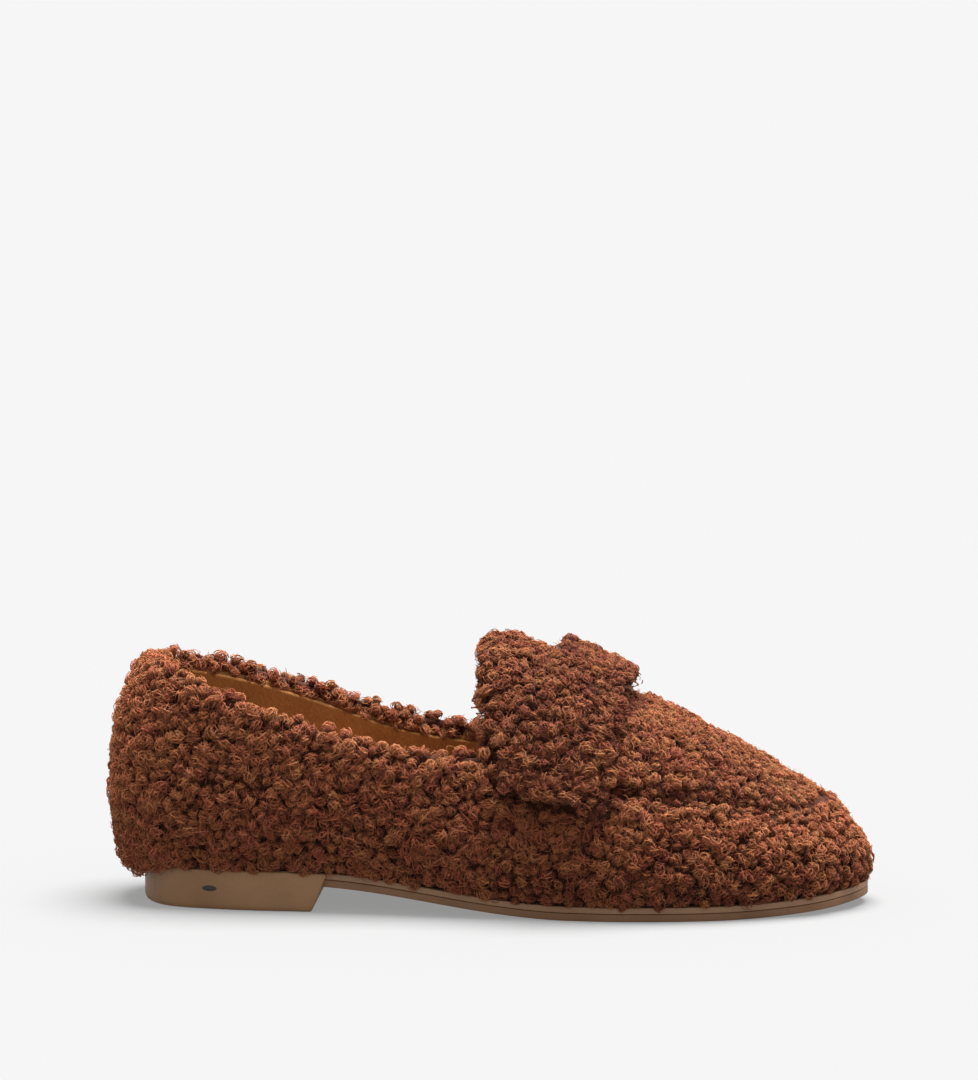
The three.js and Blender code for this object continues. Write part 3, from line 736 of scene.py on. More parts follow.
@dataclass(frozen=True)
class PileFinish:
    """Curled yarn: darker towards the root with painted shade, darker in some tufts, with a soft sheen at the
    tips.
    """

    name: str = "pile"
    # painted shade: the root colour darkens the yarn deep in the pile
    shaded_root: Colour = (46, 20, 13)
    middle: Colour = (90, 47, 31)
    tip: Colour = (130, 76, 51)
    rosy: Colour = (246, 212, 214)
    golden: Colour = (246, 244, 218)
    sheen: float = 0.3

    def build(self) -> Material:
        """Returns the material."""
        nodes = Nodes(self.name)
        tone = nodes.add("ShaderNodeAttribute", attribute_name="tone")
        parts = nodes.add("ShaderNodeSeparateColor")
        nodes.join(tone.outputs["Color"], parts.inputs["Color"])
        height, tint, strand = (parts.outputs[name] for name in ("Red", "Green", "Blue"))
        patch = nodes.noise(95, 2)
        fine = nodes.noise(1900, 2)
        # painted shade: the height above the ground darkens the yarn towards its roots
        shade = height
        for source, width in ((tint, 0.34), (patch, 0.35), (fine, 0.45), (strand, 0.3)):
            shade = nodes.math("ADD", shade, nodes.swing(source, width))
        turn = nodes.blend(nodes.noise(160, 2), tint, 0.6)
        colour = nodes.ramp(shade, [(0.0, self.shaded_root), (0.55, self.middle), (1.0, self.tip)])
        hue = nodes.ramp(turn, [(0.3, self.rosy), (0.7, self.golden)])
        mix = nodes.add("ShaderNodeMix", data_type="RGBA", blend_type="MULTIPLY")
        mix.inputs["Factor"].default_value = 1.0
        nodes.join(colour, mix.inputs[6])
        nodes.join(hue, mix.inputs[7])
        nodes.join(mix.outputs[2], nodes.surface.inputs["Base Color"])
        nodes.surface_value(Roughness=0.85, Sheen_Weight=self.sheen, Sheen_Roughness=0.45)
        nodes.surface_value(Sheen_Tint=linear((220, 150, 110)), Specular_IOR_Level=0.18)
        nodes.surface_value(Subsurface_Radius=(1.0, 0.45, 0.3))
        nodes.surface_value(Subsurface_Weight=0.2, Subsurface_Scale=0.0012)
        nodes.bump(fine, 0.0004, 0.6)
        return nodes.material


@dataclass(frozen=True)
class ClothFinish:
    """Brushed or knitted cloth in one colour with a fine nap and soft shading."""

    name: str
    dark: Colour
    light: Colour
    grain: float = 1500.0
    sheen: float = 0.4
    tint: Colour = (220, 180, 120)
    lumps: float = 60.0

    def build(self) -> Material:
        """Returns the material."""
        nodes = Nodes(self.name)
        nap = nodes.noise(self.grain, 4, (1, 1, 0.45))
        cloud = nodes.noise(self.lumps, 3)
        mixed = nodes.blend(nap, cloud, 0.55)
        nodes.colour(mixed, [(0.32, self.dark), (0.68, self.light)])
        nodes.surface_value(Roughness=0.92, Sheen_Weight=self.sheen, Sheen_Roughness=0.5)
        nodes.surface_value(Sheen_Tint=linear(self.tint), Specular_IOR_Level=0.15)
        nodes.bump(nap, 0.0003, 0.8)
        return nodes.material


@dataclass(frozen=True)
class RubberFinish:
    """Moulded rubber: satin, faintly mottled, with a fine skin."""

    name: str
    dark: Colour
    light: Colour
    roughness: float = 0.55

    def build(self) -> Material:
        """Returns the material."""
        nodes = Nodes(self.name)
        cloud = nodes.noise(42, 4)
        skin = nodes.noise(2600, 3)
        mixed = nodes.blend(cloud, skin, 0.7)
        nodes.colour(mixed, [(0.36, self.dark), (0.64, self.light)])
        rough = nodes.math("ADD", nodes.math("MULTIPLY", cloud, 0.18), self.roughness - 0.09)
        nodes.join(rough, nodes.surface.inputs["Roughness"])
        nodes.surface_value(Specular_IOR_Level=0.35)
        nodes.bump(skin, 0.0002, 0.35)
        return nodes.material


@dataclass(frozen=True)
class PlainFinish:
    """A hidden working material such as board, cork, foam or steel, with its own grain."""

    name: str
    dark: Colour
    light: Colour
    grain: float = 900.0
    roughness: float = 0.85
    metallic: float = 0.0

    def build(self) -> Material:
        """Returns the material."""
        nodes = Nodes(self.name)
        grain = nodes.noise(self.grain, 4)
        nodes.colour(grain, [(0.35, self.dark), (0.65, self.light)])
        nodes.surface_value(Roughness=self.roughness, Metallic=self.metallic)
        nodes.bump(grain, 0.0002, 0.5)
        return nodes.material


def made(finish: PileFinish | ClothFinish | RubberFinish | PlainFinish) -> Material:
    """Returns a field that holds the finish's material."""
    return field(default_factory=finish.build)


@dataclass
class Wardrobe:
    """All the finishes, each built once."""

    pile: Material = made(PileFinish())
    # painted shade: the ground cloth is coloured as dark as the pile's shaded roots, to darken the gaps
    # between tufts
    ground: Material = made(ClothFinish("pile_ground_painted_shade", (42, 19, 12), (66, 34, 21), 900, 0.15, (150, 100, 80)))
    lining: Material = made(ClothFinish("brushed_lining", (122, 76, 37), (156, 105, 57)))
    heel: Material = made(RubberFinish("heel_rubber", (112, 80, 50), (131, 96, 63)))
    midsole: Material = made(RubberFinish("midsole_rubber", (116, 85, 61), (134, 100, 74)))
    tread: Material = made(RubberFinish("tread_rubber", (96, 66, 41), (114, 80, 53)))
    dot: Material = made(RubberFinish("dark_stud", (34, 26, 20), (48, 38, 30), 0.4))
    board: Material = made(PlainFinish("fibreboard", (158, 134, 102), (190, 164, 128)))
    cork: Material = made(PlainFinish("cork_filler", (140, 96, 56), (202, 152, 98), 400))
    foam: Material = made(PlainFinish("latex_foam", (216, 204, 178), (236, 226, 204), 1400))
    stiffener: Material = made(PlainFinish("stiffener_felt", (200, 193, 180), (226, 220, 208), 1600))
    steel: Material = made(PlainFinish("bright_steel", (132, 134, 138), (168, 170, 174), 500, 0.35, 1.0))


def dress(thing: Thing, material: Material) -> None:
    """Gives an object one material."""
    thing.data.materials.clear()
    thing.data.materials.append(material)


def settle(
    thing: Thing, material: Material, slot: Slot, nodes: Sequence[str] = (), body: str = "shoe"
) -> Thing:
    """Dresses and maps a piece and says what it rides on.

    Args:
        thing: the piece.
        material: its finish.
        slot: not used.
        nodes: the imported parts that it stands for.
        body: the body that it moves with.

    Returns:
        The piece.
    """
    if BAKE_MAP not in thing.data.uv_layers:
        flat_map(thing)
    dress(thing, material)
    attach(thing, body)
    if nodes:
        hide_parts(*nodes)
    LOG.info("%s: %d faces", thing.name, len(thing.data.polygons))
    return thing


# ---------------------------------------------------------------- curled pile


@dataclass
class TuftSet:
    """Tubes ready to become one piece, with the shade of each vertex."""

    points: Array
    shade: Array
    steps: int
    sides: int

    def lighten(self, amount: Array) -> None:
        """Makes each tube lighter by its own amount, painted light; a negative amount paints shade."""
        self.shade[..., 0] += amount[:, None, None]

    def to_object(self, name: str) -> Thing:
        """Makes the piece, with its shades and a texture map of one cell to each tube."""
        count = len(self.points)
        ring = self.steps * self.sides
        one = tube_faces(self.steps, self.sides)
        faces = (one[None] + (np.arange(count) * ring)[:, None, None]).reshape(-1, 3)
        thing = MeshData(self.points.reshape(-1, 3), faces).to_object(name)
        mesh = thing.data
        tone = mesh.color_attributes.new("tone", "FLOAT_COLOR", "POINT")
        shade = np.concatenate([self.shade.reshape(-1, 3), np.ones((count * ring, 1))], 1)
        tone.data.foreach_set("color", shade.astype(np.float32).ravel())
        side = one % self.sides
        across = side / self.sides
        wraps = (side.max(1) - side.min(1)) > 1  # faces over the tube's back edge
        across[wraps] = np.where(side[wraps] == 0, 1.0, across[wraps])
        local = np.stack([(one // self.sides) / (self.steps - 1), across], -1)
        cells = math.ceil(math.sqrt(count))
        corner = np.stack([np.arange(count) % cells, np.arange(count) // cells], -1)
        uv = (corner[:, None, None] + 0.08 + local[None] * 0.84) / cells
        layer = mesh.uv_layers.new(name=BAKE_MAP)
        layer.data.foreach_set("uv", uv.astype(np.float32).ravel())
        return thing


def tuft_set(paths: Array, radii: Array, shade: Array, sides: int) -> TuftSet:
    """Makes tubes along paths, with the shades of the paths' points."""
    shade = np.repeat(shade[:, :, None], sides, 2)
    return TuftSet(tubes(paths, radii, sides), shade, paths.shape[1], sides)


@dataclass
class CurlYarn:
    """How the pile's yarn stands: each tuft is a coil of yarn wrapped in its own fibres (mm)."""

    spacing: float = 2.55
    lift: float = 1.25
    coil: float = 1.05
    yarn: float = 0.95
    turns: tuple[float, float] = (0.9, 1.5)
    steps: int = 9
    sides: int = 5
    wraps: int = 19
    wrap_steps: int = 5
    fibre: float = 0.135
    strays: int = 7
    seed: int = 5

    def __post_init__(self) -> None:
        """Starts the yarn's own random numbers."""
        self.rng = np.random.default_rng(self.seed)

    def coils(self, roots: Array, normals: Array, size: Array) -> tuple[Array, Array, Array]:
        """Returns the middle line, centre and axis of each tuft's coil."""
        rng, count = self.rng, len(roots)
        a, b = square_frames(normals, rng)
        lean = np.radians(rng.uniform(10, 85, count))[:, None]
        axis = normals * np.cos(lean) + a * np.sin(lean)
        side = np.cross(axis, b)
        turn = rng.uniform(0, 2 * math.pi, count)[:, None]
        turns = rng.uniform(*self.turns, count)[:, None]
        q = np.linspace(0, 1, self.steps)[None]
        angle = turn + 2 * math.pi * turns * q
        radius = self.coil * size[:, None] * (1.08 - 0.5 * q)
        drift = (q - 0.5) * rng.uniform(-1.3, 1.3, count)[:, None] * size[:, None]
        centre = roots + normals * (self.lift * size)[:, None]
        centre += a * rng.uniform(-0.5, 0.5, (count, 1)) + b * rng.uniform(-0.5, 0.5, (count, 1))
        path = (
            centre[:, None]
            + circle(angle, b, side) * radius[..., None]
            + axis[:, None] * drift[..., None]
        )
        path += rng.normal(0, 0.09, path.shape)
        low = roots - normals * 0.2
        path[:, 0] = low
        path[:, 1] = (low + path[:, 2]) / 2
        return path, centre, axis

    def shades(self, paths: Array, roots: Array, normals: Array, tint: Array) -> Array:
        """Returns height above the ground, tuft tint and strand tint along each path; the height paints shade
        on the yarn towards its roots.
        """
        height = ((paths - roots[:, None]) * normals[:, None]).sum(-1) / (self.lift * 2.3)
        count, steps = height.shape
        strand = np.repeat(self.rng.random((count, 1)), steps, 1)
        return np.stack([np.clip(height, 0, 1), np.repeat(tint[:, None], steps, 1), strand], -1)

    def tufts(self, roots: Array, normals: Array, size: Array, mats: int) -> tuple[TuftSet, TuftSet, TuftSet]:
        """Grows the tufts.

        Args:
            roots: where each tuft starts.
            normals: the way each one stands.
            size: each tuft's size, 1 being the usual one.
            mats: how many fibres lie over each tuft.

        Returns:
            The coils of yarn, the fibres wrapped round them and the stray fibres.
        """
        rng, count = self.rng, len(roots)
        tint = rng.random(count)
        path, centre, axis = self.coils(roots, normals, size)
        q = np.linspace(0, 1, self.steps)[None]
        thick = self.yarn * size[:, None] * (0.62 + 0.5 * np.sin(math.pi * np.clip(q * 1.06, 0, 1)) ** 0.7)
        thick = thick * rng.uniform(0.86, 1.14, thick.shape)
        coils = tuft_set(path, thick, self.shades(path, roots, normals, tint), self.sides)
        wraps = self.wrapped(centre, axis, size, roots, normals, tint)
        strays = self.loose(path, roots, normals, tint)
        mat = self.matted(*(np.repeat(x, mats, 0) for x in (roots, normals, size, tint)))
        strays.points = np.concatenate([strays.points, mat.points])
        strays.shade = np.concatenate([strays.shade, mat.shade])
        return coils, wraps, strays

    def matted(self, roots: Array, normals: Array, size: Array, tint: Array) -> TuftSet:
        """Grows fine fibres that lie from tuft to tuft and mat the pile together."""
        rng = self.rng
        count = len(roots)
        way, side = square_frames(normals, rng)
        high = (rng.uniform(0.8, 2.05, count) * self.lift * size)[:, None]
        start = roots + normals * high + way * rng.normal(0, 0.9, (count, 1))
        start += side * rng.normal(0, 0.9, (count, 1))
        q = np.linspace(-0.5, 0.5, 5)[None, :, None]
        reach = rng.uniform(2.0, 4.2, (count, 1, 1))
        bow = rng.uniform(0.2, 1.5, (count, 1, 1)) * (0.25 - q**2)
        swing = rng.normal(0, 1.6, (count, 1, 1)) * (0.25 - q**2) + rng.normal(0, 0.9, (count, 1, 1)) * q**3
        line = start[:, None] + way[:, None] * reach * q
        line += normals[:, None] * bow * 1.6 + side[:, None] * swing * 2
        line += rng.normal(0, 0.08, line.shape)
        taper = np.array([[0.6, 1.0, 1.1, 1.0, 0.6]])
        radii = self.fibre * 0.8 * rng.uniform(0.8, 1.25, (count, 1)) * taper
        return tuft_set(line, radii, self.shades(line, roots, normals, tint), 3)

    def wrapped(
        self, centre: Array, axis: Array, size: Array, roots: Array, normals: Array, tint: Array
    ) -> TuftSet:
        """Grows fine fibres that curl over each tuft, mostly the way its coil turns."""
        rng = self.rng
        centre, axis, size, roots, normals, tint = (
            np.repeat(x, self.wraps, 0) for x in (centre, axis, size, roots, normals, tint)
        )
        count = len(centre)
        turn = unit(axis + rng.normal(0, 0.75, axis.shape))
        way = normals + rng.normal(0, 0.5, normals.shape)
        out = unit(way - turn * (way * turn).sum(1)[:, None])
        side = np.cross(turn, out)
        reach = (self.coil + self.yarn) * size * rng.uniform(0.86, 1.26, count)
        shift = rng.uniform(-0.75, 0.75, count) * reach
        q = np.linspace(-0.5, 0.5, self.wrap_steps)[None]
        angle = q * rng.uniform(1.7, 3.6, (count, 1)) + rng.normal(0, 0.35, (count, 1))
        ring = np.sqrt(reach**2 - shift**2)[:, None] * (1 + q * rng.uniform(-0.45, 0.45, (count, 1)))
        along = shift[:, None] + q * rng.uniform(-0.9, 0.9, (count, 1))
        line = centre[:, None] + turn[:, None] * along[..., None]
        line += circle(angle, out, side) * ring[..., None]
        line += rng.normal(0, 0.1, line.shape)
        radii = self.fibre * rng.uniform(0.75, 1.35, (count, 1)) * (1.15 - 1.1 * np.abs(q) ** 2)
        return tuft_set(line, radii, self.shades(line, roots, normals, tint), 3)

    def loose(self, path: Array, roots: Array, normals: Array, tint: Array) -> TuftSet:
        """Grows short curved fibres that stand off the tufts as a haze."""
        rng, times = self.rng, self.strays
        count = len(path) * times
        pick = rng.integers(3, path.shape[1], count)
        start = np.repeat(path, times, 0)[np.arange(count), pick]
        roots, normals, tint = (np.repeat(x, times, 0) for x in (roots, normals, tint))
        way = start - roots
        way = unit(unit(way, 0.1) + normals * 0.6 + rng.normal(0, 0.7, way.shape))
        bend = unit(np.cross(way, rng.normal(size=way.shape)))
        third = np.cross(way, bend)
        q = np.linspace(0, 1, 5)[None, :, None]
        reach = rng.uniform(0.8, 2.2, (count, 1, 1))
        angle = rng.uniform(2.5, 7.5, (count, 1, 1)) * q
        swing = rng.uniform(0.35, 0.8, (count, 1, 1))
        line = start[:, None] + way[:, None] * reach * q
        line += (bend[:, None] * np.sin(angle) + third[:, None] * (1 - np.cos(angle))) * swing
        radii = self.fibre * 0.62 * np.array([1.1, 1.0, 0.9, 0.75, 0.5])[None] * np.ones((count, 1))
        tint = np.clip(tint + 0.15, 0, 1)
        return tuft_set(line, radii, self.shades(line, roots, normals, tint), 3)


@dataclass
class PilePanel:
    """One panel of pile cloth: its ground, and the tufts and loose fibres that stand on it."""

    name: str
    nodes: tuple[str, ...]
    surface: Surface
    columns: int
    rows: int
    inner: float
    ground: float
    body: str = "shoe"
    size: Callable[[Array], Array] | None = None
    bare: Callable[[Array, Array], Array] | None = None
    also: Callable[[Array], Array] | None = None
    # painted light and shade: how much lighter or darker each tube is coloured by where it stands
    tone: Callable[[Array], Array] | None = None
    voxel: float = 1.1
    mats: int = 7

    def build(self, yarn: CurlYarn, wardrobe: Wardrobe) -> None:
        """Builds the panel's ground and the tufts that stand on it."""
        shell = grid_shell(self.surface, self.columns, self.rows, self.inner, self.ground)
        ground = shell.to_object(f"{self.name}_ground")
        soften(ground, self.voxel, 3)
        settle(ground, wardrobe.ground, Slot.PILE, self.nodes, self.body)
        points, normals = read_points(ground)
        half = len(shell.points) // 2
        weight = self.standing(points, normals, shell.points[:half])
        places, ways = spread_points(yarn.rng, points, normals, read_triangles(ground), weight, yarn.spacing)
        size = yarn.rng.uniform(0.7, 1.2, len(places))
        if self.size:
            size = size * self.size(places)
        parts = yarn.tufts(places, ways, size, self.mats)
        for word, part in zip(("curls", "wraps", "haze"), parts):
            # painted light and shade by place
            if self.tone:
                part.lighten(self.tone(part.points.mean((1, 2))))
            limit = MOST_FACES // len(tube_faces(part.steps, part.sides))
            for k in range(0, len(part.points), limit):
                name = f"{self.name}_{word}_{k // limit + 1}"
                chunk = TuftSet(part.points[k : k + limit], part.shade[k : k + limit], part.steps, part.sides)
                settle(chunk.to_object(name), wardrobe.pile, Slot.PILE, body=self.body)
        LOG.info("%s: %d tufts", self.name, len(places))

    def standing(self, points: Array, normals: Array, inside: Array) -> Array:
        """Returns 1 for the ground's vertices that carry tufts: its outer face and edges."""
        tree = tree_of(inside)
        clear = np.array([tree.find(p)[2] for p in points]) > 0.95
        weight = clear.astype(float)
        if self.also is not None:
            weight = np.maximum(weight, self.also(points))
        if self.bare is not None:
            weight *= 1 - self.bare(points, normals)
        return weight


def flat_map(thing: Thing) -> None:
    """Gives an object a texture map that lays it out by length and height."""
    mesh = thing.data
    points, _ = read_points(thing)
    low, high = points.min(0), points.max(0)
    loops = np.empty(len(mesh.loops), np.int32)
    mesh.loops.foreach_get("vertex_index", loops)
    share = (points[:, [0, 2]] - low[[0, 2]]) / (high - low)[[0, 2]].max()
    layer = mesh.uv_layers.new(name=BAKE_MAP)
    layer.data.foreach_set("uv", (share * 0.98 + 0.01)[loops].astype(np.float32).ravel())


# ---------------------------------------------------------------- upper


@dataclass
class Upper:
    """The upper: wall panels, apron, saddle strap and tongue, all of pile cloth (mm)."""

    last: Last
    yarn: CurlYarn
    wardrobe: Wardrobe
    ground: float = 2.6
    tongue_rise: float = 6.0
    foot_clear: float = 1.2
    seam_groove: float = 0.021
    groove_reach: float = 1.7
    groove_end: float = 196.0
    heel_fullness: float = 2.4
    hem_drop: float = 2.8
    toe_thinning: float = 1.9
    strap_ground: float = 1.4
    strap_press: float = 0.9
    strap_touch: float = 2.3
    strap_end_height: float = 46.0
    under_reach: float = 6.0
    under_depth: float = 5.0
    tongue_flare: float = 3.0
    tongue_roll: float = 3.0
    tongue_clear: float = 1.0
    frayed_loops: int = 16
    # painted shade: how much darker the pile of the strap, tongue and apron is coloured
    strap_painted_shade: float = 0.32
    tongue_painted_shade: float = 0.23
    apron_painted_shade: float = 0.13

    def build(self) -> None:
        """Builds every panel."""
        last = self.last
        quarter = PilePanel(
            "quarter", ("quarter_outer", "quarter_inner"), self.quarter_surface, 300, 26,
            last.pile_in, last.pile_in + self.ground, bare=self.near_sole,
            also=self.over_cuff, size=self.quarter_size, tone=self.quarter_painted_light,
        )
        vamp = PilePanel(
            "vamp", ("vamp",), self.vamp_surface, 220, 18,
            last.pile_in, last.pile_in + self.ground, size=self.vamp_size, tone=self.toe_painted_light_and_shade,
            bare=lambda points, ways: np.maximum(self.near_sole(points, ways), self.in_seam(points)),
        )
        apron = PilePanel(
            "apron", ("apron",), self.apron_surface, 90, 60, last.pile_in, last.pile_in + self.ground - 0.4,
            voxel=0.8, mats=14, size=self.toe_size,
            tone=lambda points: self.toe_painted_light_and_shade(points) - self.apron_painted_shade,
            bare=lambda points, _: np.maximum(self.covered(points), self.in_seam(points)),
        )
        strap = PilePanel(
            "saddle_strap", ("saddle_strap",), self.strap_surface, 30, 110,
            last.strap_in, last.strap_in + self.strap_ground,
            mats=11, size=self.strap_size, tone=lambda points: np.full(len(points), -self.strap_painted_shade),
        )
        tongue = PilePanel(
            "tongue", ("tongue",), self.tongue_surface, 24, 80,
            last.stiffener_in, last.pile_in + self.ground, body="tongue", mats=13,
            also=lambda points: (points[:, 0] < last.throat + 3.5).astype(float),
            tone=lambda points: np.full(len(points), -self.tongue_painted_shade),
        )
        self.mark_strap()
        for panel in (quarter, vamp, apron, strap, tongue):
            panel.build(self.yarn, self.wardrobe)
        self.seam_cloth()
        self.strap_backing()
        self.hinge_cloth()
        self.frayed_end()

    def mark_strap(self) -> None:
        """Samples where the strap lies over the pile, for the tufts under and beside it."""
        u, v = (x.ravel() for x in np.meshgrid(np.linspace(0, 1, 16), np.linspace(0, 1, 61)))
        spots = self.strap_surface(u, v, np.full(len(u), self.last.pile_out - 2))
        self.strap_edge = np.minimum(np.minimum(u, 1 - u) * self.last.strap_width, np.minimum(v, 1 - v) * 110)
        self.strap_tree = tree_of(spots)

    def near_strap(self, points: Array) -> tuple[Array, Array]:
        """Returns how far points are from the strap and how deep under it they lie."""
        found = [self.strap_tree.find(p) for p in points]
        return np.array([f[2] for f in found]), self.strap_edge[[f[1] for f in found]]

    def covered(self, points: Array) -> Array:
        """Returns 1 for points well under the strap, where no tufts are needed."""
        far, deep = self.near_strap(points)
        below = (far < self.strap_touch) & (points[:, 2] < self.strap_end_height)
        return (((far < self.under_reach) & (deep > self.under_depth)) | below).astype(float)

    def beside_strap(self, points: Array) -> Array:
        """Returns how far the strap presses tufts down: they are short along its edges."""
        far, _ = self.near_strap(points)
        return 0.45 + 0.55 * smooth_step((far - 2.6) / 2.6)

    def seam_distance(self, points: Array) -> Array:
        """Returns how far points are from the bottom of the apron seam."""
        if not hasattr(self, "seam_tree"):
            s = np.linspace(-1, 1, 500)
            self.seam_tree = tree_of(self.last.layer(s, self.last.seam_level(s), self.last.pile_in + 2))
        return np.array([self.seam_tree.find(p)[2] for p in points])

    def beside_seam(self, points: Array) -> Array:
        """Returns how far the apron seam draws tufts in."""
        far = self.seam_distance(points)
        front = smooth_step((points[:, 0] - 188) / 16)
        return 0.6 + 0.4 * np.maximum(smooth_step((far - 1.6) / 2.4), front)

    def in_seam(self, points: Array) -> Array:
        """Returns 1 in the apron seam's groove, where no tufts stand."""
        near = self.seam_distance(points) < self.groove_reach
        return (near & (points[:, 0] < self.groove_end)).astype(float)

    def seam_cloth(self) -> None:
        """Makes the strip of ground cloth at the bottom of the apron seam, dark with painted shade."""

        def surface(u: Array, v: Array, d: Array) -> Array:
            """Gives points of the strip."""
            s = -1 + 2 * u
            level = np.clip(self.last.seam_level(s) + (v - 0.5) * 0.14, 0, 0.999)
            return self.last.layer(s, level, d)

        strip = grid_shell(surface, 300, 4, self.last.pile_in - 0.35, self.last.pile_in + 0.5)
        self.cloth(strip.to_object("apron_seam_cloth"))

    def strap_backing(self) -> None:
        """Makes the strap's backing cloth."""
        last = self.last

        def surface(u: Array, v: Array, d: Array) -> Array:
            """Gives points of the backing, set in from the strap's front edge."""
            return self.strap_surface(0.02 + 0.86 * u, 0.01 + 0.98 * v, d)

        shell = grid_shell(surface, 24, 110, last.backing_in, last.backing_in + last.backing)
        self.cloth(shell.to_object("strap_backing_cloth"), "strap_backing")

    def frayed_end(self) -> None:
        """Makes the loops of yarn that have worked loose at the tongue's lower rear corner."""
        rng = self.yarn.rng
        count = self.frayed_loops
        high = np.full(count, self.last.pile_in + 2)
        base = self.tongue_surface(np.zeros(count), rng.uniform(0.03, 0.17, count), high)
        way = np.array([-1.0, 0.5, -0.15]) + rng.normal(0, 0.35, (count, 3))
        way, side = unit(way), square_frames(way, rng)[0]
        q = np.linspace(0, 1, 13)[None, :, None]
        angle = 2 * math.pi * rng.uniform(0.8, 1.25, (count, 1, 1)) * q
        reach = rng.uniform(1.4, 2.9, (count, 1, 1))
        line = base[:, None] + way[:, None] * reach * (1 - np.cos(angle))
        line += side[:, None] * reach * 0.55 * np.sin(angle)
        line += rng.normal(0, 0.16, line.shape)
        body = tubes(line, np.full((count, 13), 0.24), 5)
        shade = np.full((count, 13, 5, 3), 0.42) + rng.uniform(0, 0.3, (count, 1, 1, 3))
        thing = TuftSet(body, shade, 13, 5).to_object("tongue_frayed")
        settle(thing, self.wardrobe.pile, Slot.PILE, body="tongue")

    def hinge_cloth(self) -> None:
        """Makes the strip of ground cloth that closes the fold between the tongue and the strap."""
        last = self.last

        def surface(u: Array, v: Array, d: Array) -> Array:
            """Gives points of the strip."""
            side, rise = over_ridge(v)
            t = last.strap_end_level + (1 - last.strap_end_level) * rise
            return last.layer(last.s_at_x(side, last.strap_rear(t) - 0.4 + 1.8 * u, t), t, d)

        shell = grid_shell(surface, 6, 80, 0.2, last.strap_in - 0.3)
        self.cloth(shell.to_object("hinge_cloth"))

    def cloth(self, thing: Thing, *nodes: str) -> None:
        """Dresses a hidden cloth piece in the ground cloth, darkened with painted shade, and sets what it
        rides on and stands for.
        """
        settle(thing, self.wardrobe.ground, Slot.PILE, nodes)

    def near_sole(self, points: Array, normals: Array) -> Array:
        """Returns 1 where tufts would stand down into the sole."""
        back = smooth_step((-16 - points[:, 0]) / 12)
        low = points[:, 2] < self.last.feather(points[:, 0]) + self.foot_clear - 2.4 * back
        under = normals[:, 2] < -0.6 - 0.35 * back
        return np.maximum((low | under).astype(float), self.covered(points))

    def cuff_rise(self, s: Array) -> Array:
        """Returns how far the pile's ground stands above the lining's edge at s."""
        x = self.last.point(s, np.full(len(s), 0.6))[:, 0]
        outer = smooth_through(
            [(-32, 3), (-12, 3.6), (6, 0), (18, -1.2), (40, -1.2), (51, -0.6), (66, 0.8), (92, 3.6)]
        )
        inner = smooth_through([(-32, 3), (0, 3.4), (30, 4.2), (60, 5.4), (92, 4.6)])
        share = smooth_step((s + 0.1) / 0.2)
        return inner(x) * (1 - share) + outer(x) * share

    def over_cuff(self, points: Array) -> Array:
        """Returns 1 for the inner face of the cuff, which the pile rolls over."""
        return (points[:, 2] > self.last.topline(points[:, 0]) + 1.2).astype(float)

    def quarter_size(self, points: Array) -> Array:
        """Returns the tufts' size on the quarters: fuller at the top of the heel."""
        back = smooth_step((12 - points[:, 0]) / 40)
        high = smooth_step((points[:, 2] - 52) / 22)
        hem = smooth_step((24 - points[:, 2]) / 8) * smooth_step((-10 - points[:, 0]) / 20)
        return (1 + 0.08 * back * high + 0.3 * hem) * self.beside_strap(points)

    def quarter_painted_light(self, points: Array) -> Array:
        """Returns how much lighter the quarters' pile is: painted light at the heel's back, and lighter along
        the top of the cuff.
        """
        back = 0.42 * smooth_step((-12 - points[:, 0]) / 20)
        cuff = 0.16 * smooth_step((points[:, 2] - self.last.topline(points[:, 0]) + 4) / 5)
        return np.maximum(back, cuff)

    def toe_top_mask(self, points: Array) -> Array:
        """Returns 1 on the top of the toe, where the pile takes painted light and shorter tufts."""
        return smooth_step((points[:, 0] - 168) / 30) * smooth_step((points[:, 2] - 18) / 14)

    def toe_painted_light_and_shade(self, points: Array) -> Array:
        """Returns how much lighter the pile of vamp and apron is: painted light on the top of the toe,
        painted shade low down.
        """
        return 0.42 * self.toe_top_mask(points) + 0.05 - 0.21 * (1 - smooth_step((points[:, 2] - 12) / 18))

    def vamp_size(self, points: Array) -> Array:
        """Returns the tufts' size on the vamp."""
        return self.beside_strap(points) * self.beside_seam(points) * (1 - 0.3 * self.toe_top_mask(points))

    def toe_size(self, points: Array) -> Array:
        """Returns the tufts' size on the apron: shorter towards the toe."""
        toe = 1 - 0.36 * smooth_step((points[:, 0] - 140) / 50)
        return toe * self.beside_strap(points) * self.beside_seam(points)

    def quarter_surface(self, u: Array, v: Array, d: Array) -> Array:
        """Gives points of the quarters, from the inner side's join round the heel."""
        start, end = (self.last.join_at(side) for side in (-1, 1))
        s = start + (end - start) * u
        p = self.last.layer(s, v * self.last.topline_level(s, self.cuff_rise(s)), d)
        back = smooth_step((-2 - p[:, 0]) / 30) * smooth_step((p[:, 2] - 42) / 26)
        hem = smooth_step((-10 - p[:, 0]) / 22) * (1 - smooth_step(v / 0.22)) * smooth_step((d - 4) / 2)
        p[:, 0] -= self.heel_fullness * back * smooth_step((d - 4) / 2) + 1.4 * hem
        p[:, 2] -= self.hem_drop * hem
        return p

    def vamp_surface(self, u: Array, v: Array, d: Array) -> Array:
        """Gives points of the vamp's wall, from the outer side's join round the toe."""
        start, end = self.last.join_at(1), 2 + self.last.join_at(-1)
        s = start + (end - start) * u
        s = np.where(s > 1, s - 2, s)
        t = v * (self.last.seam_level(s) - self.seam_groove)
        return self.last.layer(s, t, self.thin_to_toe(s, t, d))

